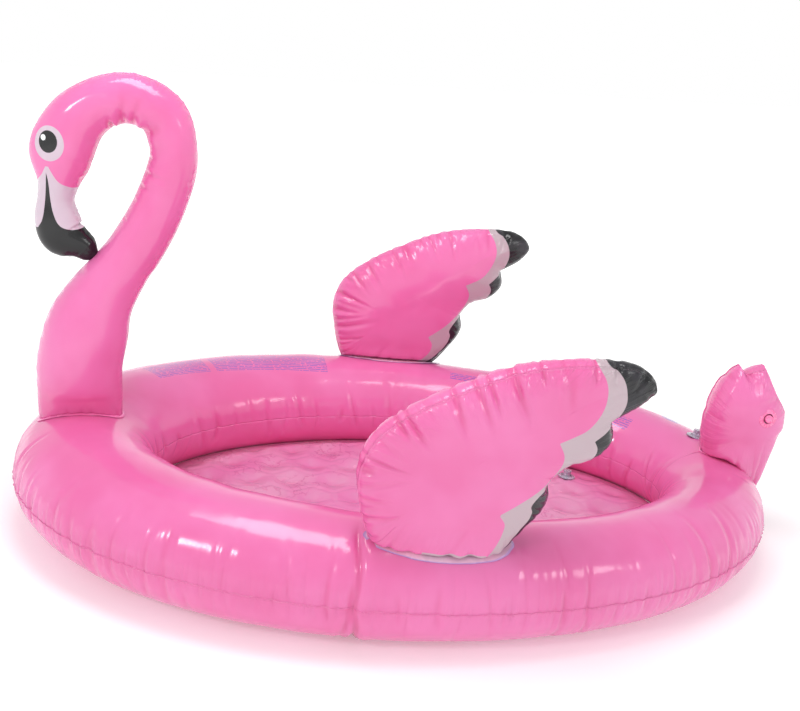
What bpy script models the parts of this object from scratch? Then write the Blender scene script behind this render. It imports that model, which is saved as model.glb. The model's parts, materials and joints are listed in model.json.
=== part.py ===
"""Inflatable paddling float in the shape of a wading bird.

An oval ring of two welded half skins surrounds a padded floor. A neck with head and beak,
two scalloped wings and a tail stand on the ring. Each of them is a pouch of two half skins
welded round its outline, and each is welded to the ring along one line, about which it sways.
Four valves, each a collar, a stem, a tethered plug and a check flap, let the air in.

Frame: +Z up, the ground at z = 0, the head towards -X and the tail towards +X.
"""
import bpy
import bmesh
from math import cos, sin, pi, radians, sqrt
from mathutils import Matrix, Vector

# Welded sheet
SHEET = 0.0005              # thickness of the vinyl
WELD_GAP = 0.0003           # between two sheets that are welded together
WELD_WIDTH = 0.006          # width of the flat weld round every chamber

# Ring, with the centre line of its tube as an egg-shaped oval
RING_STATIONS = 48
RING_HALF_LENGTH = 0.763
RING_HALF_WIDTH = 0.466
RING_EGG_X = 0.030
RING_EGG_Y = 0.017
TUBE_HALF_WIDTH = 0.1325
TUBE_HALF_HEIGHT = 0.122
TUBE_TAPER = 0.185          # the tube is fatter at the head than at the tail
TUBE_SWELL = 0.127          # and fatter at both ends than at the sides
HEIGHT_TAPER = 0.11
TUBE_STEPS = 8              # facets over each half of the tube

# Floor, as fractions of the tube's half width inwards from the tube's centre line
FLOOR_OUTER = 0.40
FLOOR_EDGE = 0.72
FLOOR_EDGE_HEIGHT = 0.28    # as a fraction of the tube's half height
FLOOR_PAD = 0.050           # height of the padded top

# Neck: (x, z, half width, half depth) at stations from the weld to the beak's tip
NECK_BASE_HEIGHT = 0.262
NECK_STATIONS = (
    (-0.746, 0.298, 0.0985, 0.052), (-0.746, 0.330, 0.0985, 0.078), (-0.743, 0.390, 0.0975, 0.088),
    (-0.722, 0.475, 0.0930, 0.085), (-0.691, 0.545, 0.0760, 0.070), (-0.641, 0.620, 0.0620, 0.058),
    (-0.609, 0.667, 0.0600, 0.056), (-0.568, 0.744, 0.0570, 0.053), (-0.537, 0.830, 0.0540, 0.051),
    (-0.531, 0.885, 0.0510, 0.050), (-0.545, 0.941, 0.0530, 0.050), (-0.574, 0.972, 0.0520, 0.050),
    (-0.617, 0.987, 0.0530, 0.051), (-0.658, 0.985, 0.0535, 0.052), (-0.700, 0.968, 0.0560, 0.055),
    (-0.740, 0.934, 0.0630, 0.060), (-0.770, 0.880, 0.0690, 0.060), (-0.776, 0.842, 0.0630, 0.054),
    (-0.782, 0.800, 0.0450, 0.042), (-0.788, 0.765, 0.0400, 0.036), (-0.787, 0.725, 0.0490, 0.038),
    (-0.776, 0.688, 0.0530, 0.036), (-0.751, 0.662, 0.0360, 0.028), (-0.728, 0.649, 0.0180, 0.014),
)
NECK_TIP = (-0.714, 0.643, 0.0050, 0.004)
NECK_STEPS = 8

# Wings: outline from the front of the weld over the leading edge and the scallops to its rear
WING_Y = 0.508
WING_BASE_HEIGHT = 0.240
WING_HALF_DEPTH = 0.058
WING_LEADING_EDGE = (
    (-0.095, 0.000), (-0.115, 0.060), (-0.132, 0.150), (-0.108, 0.230), (-0.040, 0.290),
    (0.050, 0.338), (0.155, 0.379), (0.265, 0.393), (0.365, 0.383), (0.411, 0.345),
    (0.390, 0.307), (0.336, 0.272),
)
WING_MIDDLE_LOBE = ((0.336, 0.272), (0.343, 0.228), (0.312, 0.192), (0.262, 0.174), (0.233, 0.138))
WING_REAR_LOBE = ((0.233, 0.138), (0.240, 0.096), (0.215, 0.050), (0.165, 0.000))
WING_CENTRE = (0.10, 0.20)

# Tail: outline from the front of the weld over its two tips to the rear of the weld
TAIL_HALF_DEPTH = 0.062
TAIL_FRONT = ((0.773, 0.224), (0.764, 0.270), (0.767, 0.330), (0.788, 0.400), (0.821, 0.446))
TAIL_CLEFT = ((0.821, 0.446), (0.840, 0.424), (0.851, 0.436), (0.879, 0.451))
TAIL_REAR = ((0.879, 0.451), (0.912, 0.395), (0.947, 0.335), (0.943, 0.270), (0.892, 0.186))
TAIL_CENTRE = (0.855, 0.300)

# How full a pouch is between its outline (1) and its middle (0): radius, share of half depth
POUCH_RINGS = ((1.0, 0.0), (0.93, 0.40), (0.80, 0.68), (0.55, 0.92), (0.25, 1.0))

# Valves
VALVE_SIDES = 16
SKIN_HOLE = 0.0128
COLLAR_RADIUS = 0.022
COLLAR_BORE = 0.0124
STEM_RADIUS = 0.0095
STEM_BORE = 0.005
STEM_HEIGHT = 0.015
STEM_RIM = 0.0120
PLUG_RADIUS = 0.0095
PLUG_LENGTH = 0.007
TETHER_REACH = 0.0113
HINGE_REACH = 0.0115
FLAP_RADIUS = 0.006
SUNK = 0.011                # how far a stem is pushed in when it is stowed

PINK = (0.93, 0.18, 0.42)
PALE_PINK = (0.96, 0.45, 0.62)
CLEAR = (0.80, 0.74, 0.84)
BLACK = (0.03, 0.03, 0.035)


def vinyl(name, colour, roughness=0.22):
    """Principled material of one piece."""
    material = bpy.data.materials.new(name)
    material.use_nodes = True
    shader = material.node_tree.nodes["Principled BSDF"]
    shader.inputs["Base Color"].default_value = (*colour, 1)
    shader.inputs["Roughness"].default_value = roughness
    shader.inputs["Metallic"].default_value = 0.0
    return material


def add_mesh(name, points, faces, colour):
    """Object with a smooth mesh from points and faces."""
    mesh = bpy.data.meshes.new(name)
    mesh.from_pydata([tuple(point) for point in points], [], faces)
    mesh.validate()
    thing = bpy.data.objects.new(name, mesh)
    bpy.context.scene.collection.objects.link(thing)
    mesh.materials.append(vinyl(name, colour))
    mesh.shade_smooth()
    return thing


def face_outwards(thing):
    """Turns a closed mesh right side out when its volume comes out negative."""
    mesh = thing.data
    volume = 0.0
    for face in mesh.polygons:
        corners = [mesh.vertices[index].co for index in face.vertices]
        for second, third in zip(corners[1:], corners[2:]):
            volume += corners[0].dot(second.cross(third))
    if volume < 0:
        mesh.flip_normals()


def sheet(name, rows, shift, colour, closed, capped=False):
    """Closed solid between a grid of points and the same grid moved by shift.

    closed joins each row's last point to its first. capped closes the last row with one face.
    """
    wide = len(rows[0])
    outer = [Vector(point) for row in rows for point in row]
    points = outer + [point + shift for point in outer]
    faces = []
    for side in (0, len(outer)):
        for row in range(len(rows) - 1):
            for column in range(wide if closed else wide - 1):
                near = side + row * wide + column
                far = side + row * wide + (column + 1) % wide
                for face in ((near, far, far + wide), (near, far + wide, near + wide)):
                    faces.append(face[::-1] if side else face)
    edge = [(column, (column + 1) % wide) for column in range(wide if closed else wide - 1)]
    last = (len(rows) - 1) * wide
    faces += [(b, a, a + len(outer), b + len(outer)) for a, b in edge]
    if capped:
        cap = tuple(last + column for column in range(wide))
        faces += [cap, tuple(index + len(outer) for index in reversed(cap))]
    else:
        faces += [(last + a, last + b, last + b + len(outer), last + a + len(outer)) for a, b in edge]
    if not closed:
        for row in range(len(rows) - 1):
            a, b = row * wide, (row + 1) * wide
            faces.append((a, b, b + len(outer), a + len(outer)))
            a, b = a + wide - 1, b + wide - 1
            faces.append((b, a, a + len(outer), b + len(outer)))
    thing = add_mesh(name, points, faces, colour)
    face_outwards(thing)
    return thing


def smooth_line(points, count):
    """Evenly counted points on a smooth curve through the given ones, ends included."""
    padded = [points[0], *points, points[-1]]
    line = []
    for index in range(count):
        place = index * (len(points) - 1) / (count - 1)
        start = min(int(place), len(points) - 2)
        t = place - start
        p, q, r, s = (Vector(padded[start + step]) for step in range(4))
        line.append(0.5 * (2 * q + (r - p) * t + (2 * p - 5 * q + 4 * r - s) * t * t
                           + (3 * q - p - 3 * r + s) * t ** 3))
    return line


# Ring and floor

def ring_place(turn):
    """Centre line point, outward direction, half width and half height of the tube."""
    x = RING_HALF_LENGTH * cos(turn) + RING_EGG_X * cos(2 * turn)
    y = RING_HALF_WIDTH * sin(turn) + RING_EGG_Y * sin(2 * turn)
    along = Vector((-RING_HALF_LENGTH * sin(turn) - 2 * RING_EGG_X * sin(2 * turn),
                    RING_HALF_WIDTH * cos(turn) + 2 * RING_EGG_Y * cos(2 * turn), 0)).normalized()
    share = x / RING_HALF_LENGTH
    wide = TUBE_HALF_WIDTH * (1 - TUBE_TAPER * share + TUBE_SWELL * (share * share - 0.5))
    high = TUBE_HALF_HEIGHT * (1 - HEIGHT_TAPER * share)
    return Vector((x, y, 0)), Vector((along.y, -along.x, 0)), wide, high


def ring_point(turn, angle, side=1):
    """Point on the outer face of a half skin; angle 0 is the outer weld, pi the inner one."""
    centre, outward, wide, high = ring_place(turn)
    rise = WELD_GAP / 2 + SHEET
    return centre + outward * (wide * cos(angle)) + Vector((0, 0, high + side * (rise + (high - rise) * sin(angle))))


def ring_turns():
    return [2 * pi * step / RING_STATIONS for step in range(RING_STATIONS)]


def ring_skin(name, side):
    """Upper (side 1) or lower (side -1) half of the ring, with a weld along both edges."""
    rows = []
    for step in range(-1, TUBE_STEPS + 2):
        angle = pi * min(max(step, 0), TUBE_STEPS) / TUBE_STEPS
        row = [ring_point(turn, angle, side) for turn in ring_turns()]
        if step < 0 or step > TUBE_STEPS:
            lip = WELD_WIDTH if step < 0 else -WELD_WIDTH
            row = [point + ring_place(turn)[1] * lip for point, turn in zip(row, ring_turns())]
        rows.append(row)
    return sheet(name, rows, Vector((0, 0, -side * SHEET)), PINK, closed=True)


def floor_row(inward, height):
    """Closed line at a share of the tube's half width inside its centre line."""
    row = []
    for turn in ring_turns():
        centre, outward, wide, high = ring_place(turn)
        row.append(centre - outward * wide * inward + Vector((0, 0, height(high))))
    return row


def shrunk(row, share, height):
    """Copy of a closed line drawn in towards the middle of the floor."""
    middle = Vector((RING_EGG_X, 0, 0))
    return [middle + (Vector((point.x, point.y, 0)) - middle) * share + Vector((0, 0, height)) for point in row]


def floor_sheets():
    """Padded top sheet with its side wall and weld, and the flat bottom sheet."""
    weld_height = SHEET * 2 + WELD_GAP
    outer = floor_row(FLOOR_OUTER, lambda high: weld_height)
    inner = floor_row(FLOOR_OUTER + 0.05, lambda high: weld_height)
    edge = floor_row(FLOOR_EDGE, lambda high: FLOOR_EDGE_HEIGHT * high)
    rows = [outer, inner, edge]
    rows += [shrunk(edge, share, height) for share, height in ((0.92, 0.044), (0.78, FLOOR_PAD), (0.30, FLOOR_PAD))]
    top = sheet("floor_top_sheet", rows, Vector((0, 0, -SHEET)), PALE_PINK, closed=True, capped=True)
    bottom_edge = floor_row(FLOOR_OUTER, lambda high: SHEET)
    sheet("floor_bottom_sheet", [bottom_edge, shrunk(bottom_edge, 0.5, SHEET)], Vector((0, 0, -SHEET)),
          PALE_PINK, closed=True, capped=True)
    return top


def ring_patch(name, first, last, low, high):
    """Weld flange lying on the upper skin between two turn steps and two tube steps."""
    lift = Vector((0, 0, 0.0006 + SHEET))
    rows = [[ring_point(2 * pi * turn / RING_STATIONS, pi * step / TUBE_STEPS) + lift
             for turn in range(first, last + 1)] for step in range(low, high + 1)]
    return sheet(name, rows, Vector((0, 0, -SHEET)), PALE_PINK, closed=False)


# Neck, head and beak

def base_arc(x, centre_turn):
    """Height of the ring's upper face at x, in the plane y = 0."""
    centre, outward, wide, high = ring_place(centre_turn)
    share = min(abs(x - centre.x) / wide, 0.98)
    return high + high * sqrt(1 - share * share)


def neck_skin(name, side):
    """Half of the neck pouch; side -1 faces -Y."""
    x, _, wide, _ = NECK_STATIONS[0]
    steps = [pi * step / NECK_STEPS for step in range(NECK_STEPS + 1)]
    rows = []
    for lift, depth in ((0.006, 0.004), (0.016, 0.030)):
        row = []
        for angle in steps:
            place = x + wide * cos(angle)
            row.append(Vector((place, side * depth * sin(angle), base_arc(place, pi) + lift)))
        rows.append(row)
    stations = smooth_line([Vector(station) for station in (*NECK_STATIONS, NECK_TIP)], 34)
    for index, (x, z, wide, depth) in enumerate(stations):
        before = stations[max(index - 1, 0)]
        after = stations[min(index + 1, len(stations) - 1)]
        along = Vector((after[0] - before[0], after[1] - before[1])).normalized()
        row = []
        for angle in steps:
            reach = wide * cos(angle)
            row.append(Vector((x + along.y * reach, side * depth * sin(angle), z - along.x * reach)))
        rows.append(row)
    for row in rows:
        for point in row:
            point.y += side * (WELD_GAP / 2 + SHEET)
        lip = (row[0] - row[-1]).normalized() * WELD_WIDTH * 0.5
        row.insert(0, row[0] + lip)
        row.append(row[-1] - lip)
    return sheet(name, rows, Vector((0, -side * SHEET, 0)), PINK, closed=False)


# Wings and tail

def pouch_skin(name, outline, centre, plane_y, base_height, half_depth, side):
    """Half of a flat pouch in a plane of constant y, full in the middle and flat at its edge."""
    middle = Vector((centre[0], 0, centre[1] + base_height))
    rim = [Vector((x, 0, z + base_height)) for x, z in outline]
    rows = []
    for share, fullness in POUCH_RINGS:
        out = plane_y + side * (WELD_GAP / 2 + SHEET + half_depth * fullness)
        rows.append([middle + (point - middle) * share + Vector((0, out, 0)) for point in rim])
    return sheet(name, rows, Vector((0, -side * SHEET, 0)), PINK, closed=True, capped=True)


def joined_lines(lines, counts):
    """One outline from smooth lines that meet at corners."""
    outline = []
    for line, count in zip(lines, counts):
        outline += smooth_line(line, count)[:-1]
    return outline + [Vector(lines[-1][-1])]


def wing_outline():
    lobes = joined_lines((WING_LEADING_EDGE, WING_MIDDLE_LOBE, WING_REAR_LOBE), (20, 7, 6))
    front, rear = lobes[0].x, lobes[-1].x
    weld = [(rear + (front - rear) * step / 5, 0.0) for step in range(1, 5)]
    return [tuple(point) for point in lobes] + weld


def tail_outline():
    edge = joined_lines((TAIL_FRONT, TAIL_CLEFT, TAIL_REAR), (9, 5, 9))
    front, rear = edge[0].x, edge[-1].x
    places = [rear + (front - rear) * step / 4 for step in range(1, 4)]
    weld = [(place, base_arc(place, 0) + 0.006) for place in places]
    return [tuple(point) for point in edge] + weld


# Valves

def turned(name, profile, colour):
    """Closed solid turned about the local Z axis from a closed profile of (radius, height)."""
    points, faces = [], []
    for side in range(VALVE_SIDES):
        turn = 2 * pi * (side + 0.5) / VALVE_SIDES
        points += [(radius * cos(turn), radius * sin(turn), height) for radius, height in profile if radius]
    poles = [height for radius, height in profile if not radius]
    count = len(profile) - len(poles)
    for side in range(VALVE_SIDES):
        near, far = side * count, (side + 1) % VALVE_SIDES * count
        spans = count - 1 if poles else count
        faces += [(near + k, far + k, far + (k + 1) % count, near + (k + 1) % count) for k in range(spans)]
    if poles:
        faces.append(tuple(side * count for side in reversed(range(VALVE_SIDES))))
        faces.append(tuple(side * count + count - 1 for side in range(VALVE_SIDES)))
    thing = add_mesh(name, points, faces, colour)
    face_outwards(thing)
    return thing


def pull_tab(thing, low, high, reach):
    """Draws the side facet that faces local +X between two heights out to a reach."""
    shape = bmesh.new()
    shape.from_mesh(thing.data)
    for face in shape.faces:
        middle = face.calc_center_median()
        if face.normal.x > 0.99 and low < middle.z < high:
            flat = bmesh.ops.extrude_discrete_faces(shape, faces=[face])["faces"][0]
            step = Vector((reach - flat.calc_center_median().x, 0, 0))
            bmesh.ops.translate(shape, verts=flat.verts, vec=step)
            break
    shape.to_mesh(thing.data)
    shape.free()


def valve(prefix, skin, place, normal, colour, sunk):
    """Collar, stem, plug and check flap of one valve, with the hole for it in the skin."""
    up = normal.normalized()
    side = Vector((1, 0, 0)) if abs(up.x) < 0.7 else Vector((0, 0, 1))
    side = (side - up * side.dot(up)).normalized()
    frame = Matrix((side, up.cross(side), up)).transposed().to_4x4()
    frame.translation = place + up * 0.001

    collar = turned(prefix + "_collar", (
        (COLLAR_BORE, 0), (COLLAR_RADIUS, 0), (COLLAR_RADIUS, 0.0008), (0.0145, 0.0008),
        (0.0140, 0.0030), (COLLAR_BORE, 0.0030)), colour)
    stem = turned(prefix + "_stem", (
        (STEM_BORE, 0.0004), (STEM_RIM, 0.0004), (STEM_RIM, 0.0014), (STEM_RADIUS, 0.0014),
        (STEM_RADIUS, STEM_HEIGHT - 0.002), (STEM_RADIUS, STEM_HEIGHT), (STEM_BORE, STEM_HEIGHT)), colour)
    pull_tab(stem, STEM_HEIGHT - 0.002, STEM_HEIGHT, TETHER_REACH)
    plug = turned(prefix + "_plug", (
        (0, -PLUG_LENGTH), (0.0032, -PLUG_LENGTH), (0.0046, 0.0003), (PLUG_RADIUS, 0.0003),
        (PLUG_RADIUS, 0.0023), (0.0080, 0.0030), (0, 0.0030)), colour)
    pull_tab(plug, 0.0003, 0.0023, TETHER_REACH)
    plug.data.transform(Matrix.Translation((-HINGE_REACH, 0, -0.00015)))
    flap = turned(prefix + "_check_flap", (
        (0, -0.0008), (FLAP_RADIUS, -0.0008), (FLAP_RADIUS, -0.0002), (0, -0.0002)), colour)
    flap.data.transform(Matrix.Translation((FLAP_RADIUS, 0, 0.0005)))

    inner = frame @ Matrix.Translation((0, 0, -sunk))
    collar.matrix_world = frame
    stem.matrix_world = inner
    plug.matrix_world = inner @ Matrix.Translation((HINGE_REACH, 0, STEM_HEIGHT + 0.00015))
    flap.matrix_world = inner @ Matrix.Translation((-FLAP_RADIUS, 0, -0.0005))

    cutter = turned(prefix + "_hole_cutter", (
        (0, -0.02), (SKIN_HOLE, -0.02), (SKIN_HOLE, 0.02), (0, 0.02)), colour)
    cutter.matrix_world = frame
    cutter.hide_render = True
    cutter.display_type = "WIRE"
    hole = skin.modifiers.new("valve hole", "BOOLEAN")
    hole.operation = "DIFFERENCE"
    hole.solver = "EXACT"
    hole.object = cutter


def facet(thing, target):
    """Centre and normal of the outward facet nearest to a target point."""
    nearest = min(thing.data.polygons, key=lambda face: (face.center - target).length)
    return nearest.center.copy(), nearest.normal.copy()


def build():
    for thing in list(bpy.data.objects):
        bpy.data.objects.remove(thing, do_unlink=True)

    ring_top = ring_skin("ring_upper_skin", 1)
    ring_skin("ring_lower_skin", -1)
    floor_top = floor_sheets()

    ring_patch("neck_base_flange", 23, 25, 2, 6)
    ring_patch("tail_base_flange", -1, 1, 1, 5)
    ring_patch("wing_right_base_flange", 10, 13, 2, 4)
    ring_patch("wing_left_base_flange", 35, 38, 2, 4)

    neck_skin("neck_left_skin", -1)
    neck_right = neck_skin("neck_right_skin", 1)
    for name, y in (("wing_left", -WING_Y), ("wing_right", WING_Y)):
        outwards = -1 if y < 0 else 1
        outline = wing_outline()
        for half, side in (("outer", outwards), ("inner", -outwards)):
            pouch_skin("%s_%s_skin" % (name, half), outline, WING_CENTRE, y, WING_BASE_HEIGHT,
                       WING_HALF_DEPTH, side)
    outline = tail_outline()
    tail_left = pouch_skin("tail_left_skin", outline, TAIL_CENTRE, 0, 0, TAIL_HALF_DEPTH, -1)
    pouch_skin("tail_right_skin", outline, TAIL_CENTRE, 0, 0, TAIL_HALF_DEPTH, 1)

    valve("ring_valve", ring_top, *facet(ring_top, Vector((0.797, 0.100, 0.217))), CLEAR, 0)
    valve("floor_valve", floor_top, *facet(floor_top, Vector((0.49, 0.14, 0.06))), CLEAR, 0)
    valve("neck_valve", neck_right, *facet(neck_right, Vector((-0.720, 0.08, 0.507))), PINK, SUNK)
    valve("tail_valve", tail_left, *facet(tail_left, Vector((0.888, -0.06, 0.345))), PINK, SUNK)


build()
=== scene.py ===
"""Blow-up paddling pool in the shape of a wading bird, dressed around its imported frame."""

import json
import logging
import math
from dataclasses import dataclass, field, replace
from enum import Enum
from typing import Any, Callable, Sequence

import bmesh
import bpy
import numpy as np
from mathutils import Matrix, Vector


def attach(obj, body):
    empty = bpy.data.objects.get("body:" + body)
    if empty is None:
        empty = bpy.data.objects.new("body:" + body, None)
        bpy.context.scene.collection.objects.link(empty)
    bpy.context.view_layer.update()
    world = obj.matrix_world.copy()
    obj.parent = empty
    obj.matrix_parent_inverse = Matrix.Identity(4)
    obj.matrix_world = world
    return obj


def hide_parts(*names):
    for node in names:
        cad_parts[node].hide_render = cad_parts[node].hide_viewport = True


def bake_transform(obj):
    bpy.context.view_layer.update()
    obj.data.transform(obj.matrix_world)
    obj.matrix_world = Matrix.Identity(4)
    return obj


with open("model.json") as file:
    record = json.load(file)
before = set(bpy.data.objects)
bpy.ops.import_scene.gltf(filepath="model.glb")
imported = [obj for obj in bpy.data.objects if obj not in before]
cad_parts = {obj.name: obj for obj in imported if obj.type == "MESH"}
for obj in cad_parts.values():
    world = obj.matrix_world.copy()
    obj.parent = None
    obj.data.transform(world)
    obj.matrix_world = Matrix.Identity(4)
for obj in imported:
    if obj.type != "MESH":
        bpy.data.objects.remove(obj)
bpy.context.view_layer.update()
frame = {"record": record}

LOG = logging.getLogger("paddling_pool")
Array = np.ndarray
Colour = tuple[float, float, float]

BODY = "float_body"
WALL = 0.0005               # thickness of the vinyl film
LIP = 0.0020                # width of a weld that shows beyond the chamber
FILM_GAP = 0.0003           # how far apart the two films stay at a weld
PRINT_BLUR = 0.0006         # half width over which the edge of a wing's print fades
FACE_BLUR = 0.0004          # the same on the head, whose prints are finer
MERGE = 1e-6                # points nearer than this are joined
FAR = 1e9                   # a distance longer than any in the scene


# Maths shared by the pieces

def smooth(share: Array) -> Array:
    """Soft step from 0 to 1 as share goes from 0 to 1."""
    share = np.clip(share, 0.0, 1.0)
    return share * share * (3 - 2 * share)


def hump(offset: Array, width: float) -> Array:
    """Bell of height 1 round zero."""
    return np.exp(-(offset / width) ** 2)


class Wander:
    """Smooth random height over a plane of unit cells, repeating along both of its axes."""

    def __init__(self, seed: int, columns: int = 64, rows: int = 64) -> None:
        """Fills the table of heights.

        Args:
            seed: Start of the random draw.
            columns: Cells before the pattern repeats along x.
            rows: Cells before it repeats along y.
        """
        self.table = np.random.RandomState(seed).uniform(-1, 1, (rows, columns))

    def __call__(self, x: Array, y: Array) -> Array:
        """Height at each place.

        Args:
            x: Place along the table's columns, in cells.
            y: Place along its rows, in cells.

        Returns:
            Heights from -1 to 1.
        """
        rows, columns = self.table.shape
        column, row = np.floor(x).astype(int), np.floor(y).astype(int)
        fx, fy = smooth(x - column), smooth(y - row)
        near, far = column % columns, (column + 1) % columns
        low, high = row % rows, (row + 1) % rows
        bottom = self.table[low, near] * (1 - fx) + self.table[low, far] * fx
        top = self.table[high, near] * (1 - fx) + self.table[high, far] * fx
        return bottom * (1 - fy) + top * fy


@dataclass(frozen=True)
class Puckers:
    """Short folds that run away from a weld, each with its own place, width, reach and depth.

    Both films of a weld share the seed, so that they fold in the same places; face tells them
    apart. The folds are spaced over length from start, and ease keeps them off the weld itself.
    """

    seed: int
    length: float
    spacing: float
    width: float
    reach: float
    depth: float
    start: float = 0.0
    lean: float = 0.25
    face: int = 0
    ease: float = 0.0
    shoulder: float = 0.35
    shoulder_at: float = 2.1
    at_weld: float = 0.12

    def __call__(self, along: Array, away: Array) -> Array:
        """How far the film is drawn in at each place.

        Args:
            along: Distance along the weld.
            away: Distance from the weld over the film.

        Returns:
            Depth in metres, above zero in a fold and a little below it beside one.
        """
        draw = np.random.RandomState(self.seed)
        count = max(int(self.length / self.spacing), 1)
        turns = np.arange(count) + 0.5 + draw.uniform(-0.32, 0.32, count)
        places = self.start + turns * self.spacing
        widths = self.width * draw.uniform(0.65, 1.45, count)
        depths = self.depth * draw.uniform(0.35, 1.30, count)
        own = np.random.RandomState(self.seed * 8 + self.face + 3)
        reaches = self.reach * own.uniform(0.30, 1.50, count)
        leans = own.uniform(-self.lean, self.lean, count)
        total = np.zeros_like(along)
        for place, width, reach, depth, lean in zip(places, widths, reaches, depths, leans):
            near = (np.abs(along - place) < 5 * width + abs(lean) * reach) & (away < reach)
            if not near.any():
                continue
            offset = along[near] - place - lean * away[near]
            fade = (1 - smooth(away[near] / reach)) * (1 + 0.5 * away[near] / reach)
            raised = hump(np.abs(offset) - self.shoulder_at * width, width)
            fold = hump(offset, width) - self.shoulder * raised
            total[near] += depth * fold * fade
        if self.ease:
            total *= self.at_weld + (1 - self.at_weld) * smooth(away / self.ease)
        return total


def spline(points: Sequence[Sequence[float]], places: Array) -> Array:
    """Points on a smooth curve.

    Args:
        points: Points that the curve goes through.
        places: Where on the curve, counted in points.

    Returns:
        One row for each place.
    """
    given = np.array(points, float)
    padded = np.vstack([given[:1], given, given[-1:]])
    start = np.clip(places.astype(int), 0, len(given) - 2)
    t = (places - start)[:, None]
    p, q, r, s = (padded[start + step] for step in range(4))
    return 0.5 * (2 * q + (r - p) * t + (2 * p - 5 * q + 4 * r - s) * t * t
                  + (3 * q - p - 3 * r + s) * t ** 3)


def measured(line: Array) -> Array:
    """Length along a line of points up to each of them."""
    return np.concatenate([[0.0], np.cumsum(np.linalg.norm(np.diff(line, axis=0), axis=1))])


def line_distance(places: Array, line: Array) -> tuple[Array, Array]:
    """Distance from each place to a line, and how far along it the nearest point lies.

    Args:
        places: Places in a plane, one per row.
        line: Points of the line, one per row.

    Returns:
        The distances, and the lengths along the line.
    """
    runs = measured(line)
    best = np.full(len(places), FAR)
    along = np.zeros(len(places))
    for index in range(len(line) - 1):
        a, step = line[index], line[index + 1] - line[index]
        share = np.clip((places - a) @ step / max(step @ step, 1e-12), 0, 1)
        apart = np.linalg.norm(places - a - share[:, None] * step, axis=1)
        closer = apart < best
        best[closer] = apart[closer]
        along[closer] = runs[index] + share[closer] * math.sqrt(step @ step)
    return best, along


def inside(places: Array, polygon: Array) -> Array:
    """Which places lie inside a closed polygon.

    Args:
        places: Places in a plane, one per row.
        polygon: Corners of the polygon, one per row.

    Returns:
        True for each place inside.
    """
    hit = np.zeros(len(places), bool)
    for a, b in zip(polygon, np.roll(polygon, -1, axis=0)):
        if a[1] == b[1]:
            continue
        spans = (a[1] > places[:, 1]) != (b[1] > places[:, 1])
        cut = a[0] + (places[:, 1] - a[1]) * (b[0] - a[0]) / (b[1] - a[1])
        hit ^= spans & (places[:, 0] < cut)
    return hit


def eased(line: Sequence[Sequence[float]], turn: float = 50.0, steps: int = 8) -> Array:
    """Line through the same points, rounded between its sharp corners.

    Args:
        line: Points of the line.
        turn: Turn in degrees from which a point stays a corner.
        steps: Points drawn per piece of the line.

    Returns:
        Points of the rounded line, one per row.
    """
    points = np.array(line, float)
    ways = np.diff(points, axis=0)
    headings = np.arctan2(ways[:, 1], ways[:, 0])
    turns = np.abs((np.diff(headings) + math.pi) % (2 * math.pi) - math.pi)
    sharp = [index + 1 for index in range(len(turns)) if turns[index] > math.radians(turn)]
    corners = [0, *sharp, len(points) - 1]
    parts = []
    for first, last in zip(corners[:-1], corners[1:]):
        places = np.linspace(0, last - first, (last - first) * steps, endpoint=False)
        parts.append(spline(points[first:last + 1], places))
    return np.vstack(parts + [points[-1:]])


def print_edge(places: Array, line: Sequence[Sequence[float]],
               closing: Sequence[Sequence[float]]) -> Array:
    """Signed distance to a printed edge, above zero on the printed side.

    Args:
        places: Places in the plane of the print.
        line: Points of the visible edge.
        closing: Far points that close the printed area.

    Returns:
        Distance in metres at each place.
    """
    edge = np.array(line, float)
    apart, _ = line_distance(places, edge)
    return np.where(inside(places, np.vstack([edge, np.array(closing, float)])), apart, -apart)


# Making meshes

@dataclass
class Film:
    """Values of one sheet of vinyl over a grid: places, the core they face away from, and its maps."""

    points: Array
    core: Array
    sheet: Array
    seam: Array
    flat: Array | None = None
    marks: dict[str, Array] = field(default_factory=dict)


def linked(name: str, data: Any) -> bpy.types.Object:
    """Makes an object and puts it in the scene.

    Args:
        name: Name of the object.
        data: Mesh, light or camera that it holds.

    Returns:
        The object.
    """
    thing = bpy.data.objects.new(name, data)
    bpy.context.collection.objects.link(thing)
    return thing


def settle(form: bmesh.types.BMesh, mesh: bpy.types.Mesh) -> None:
    """Writes a form to its mesh with smooth shading, and frees it.

    Args:
        form: The form that was edited.
        mesh: The mesh that takes it.
    """
    for face in form.faces:
        face.smooth = True
    form.to_mesh(mesh)
    form.free()


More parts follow.
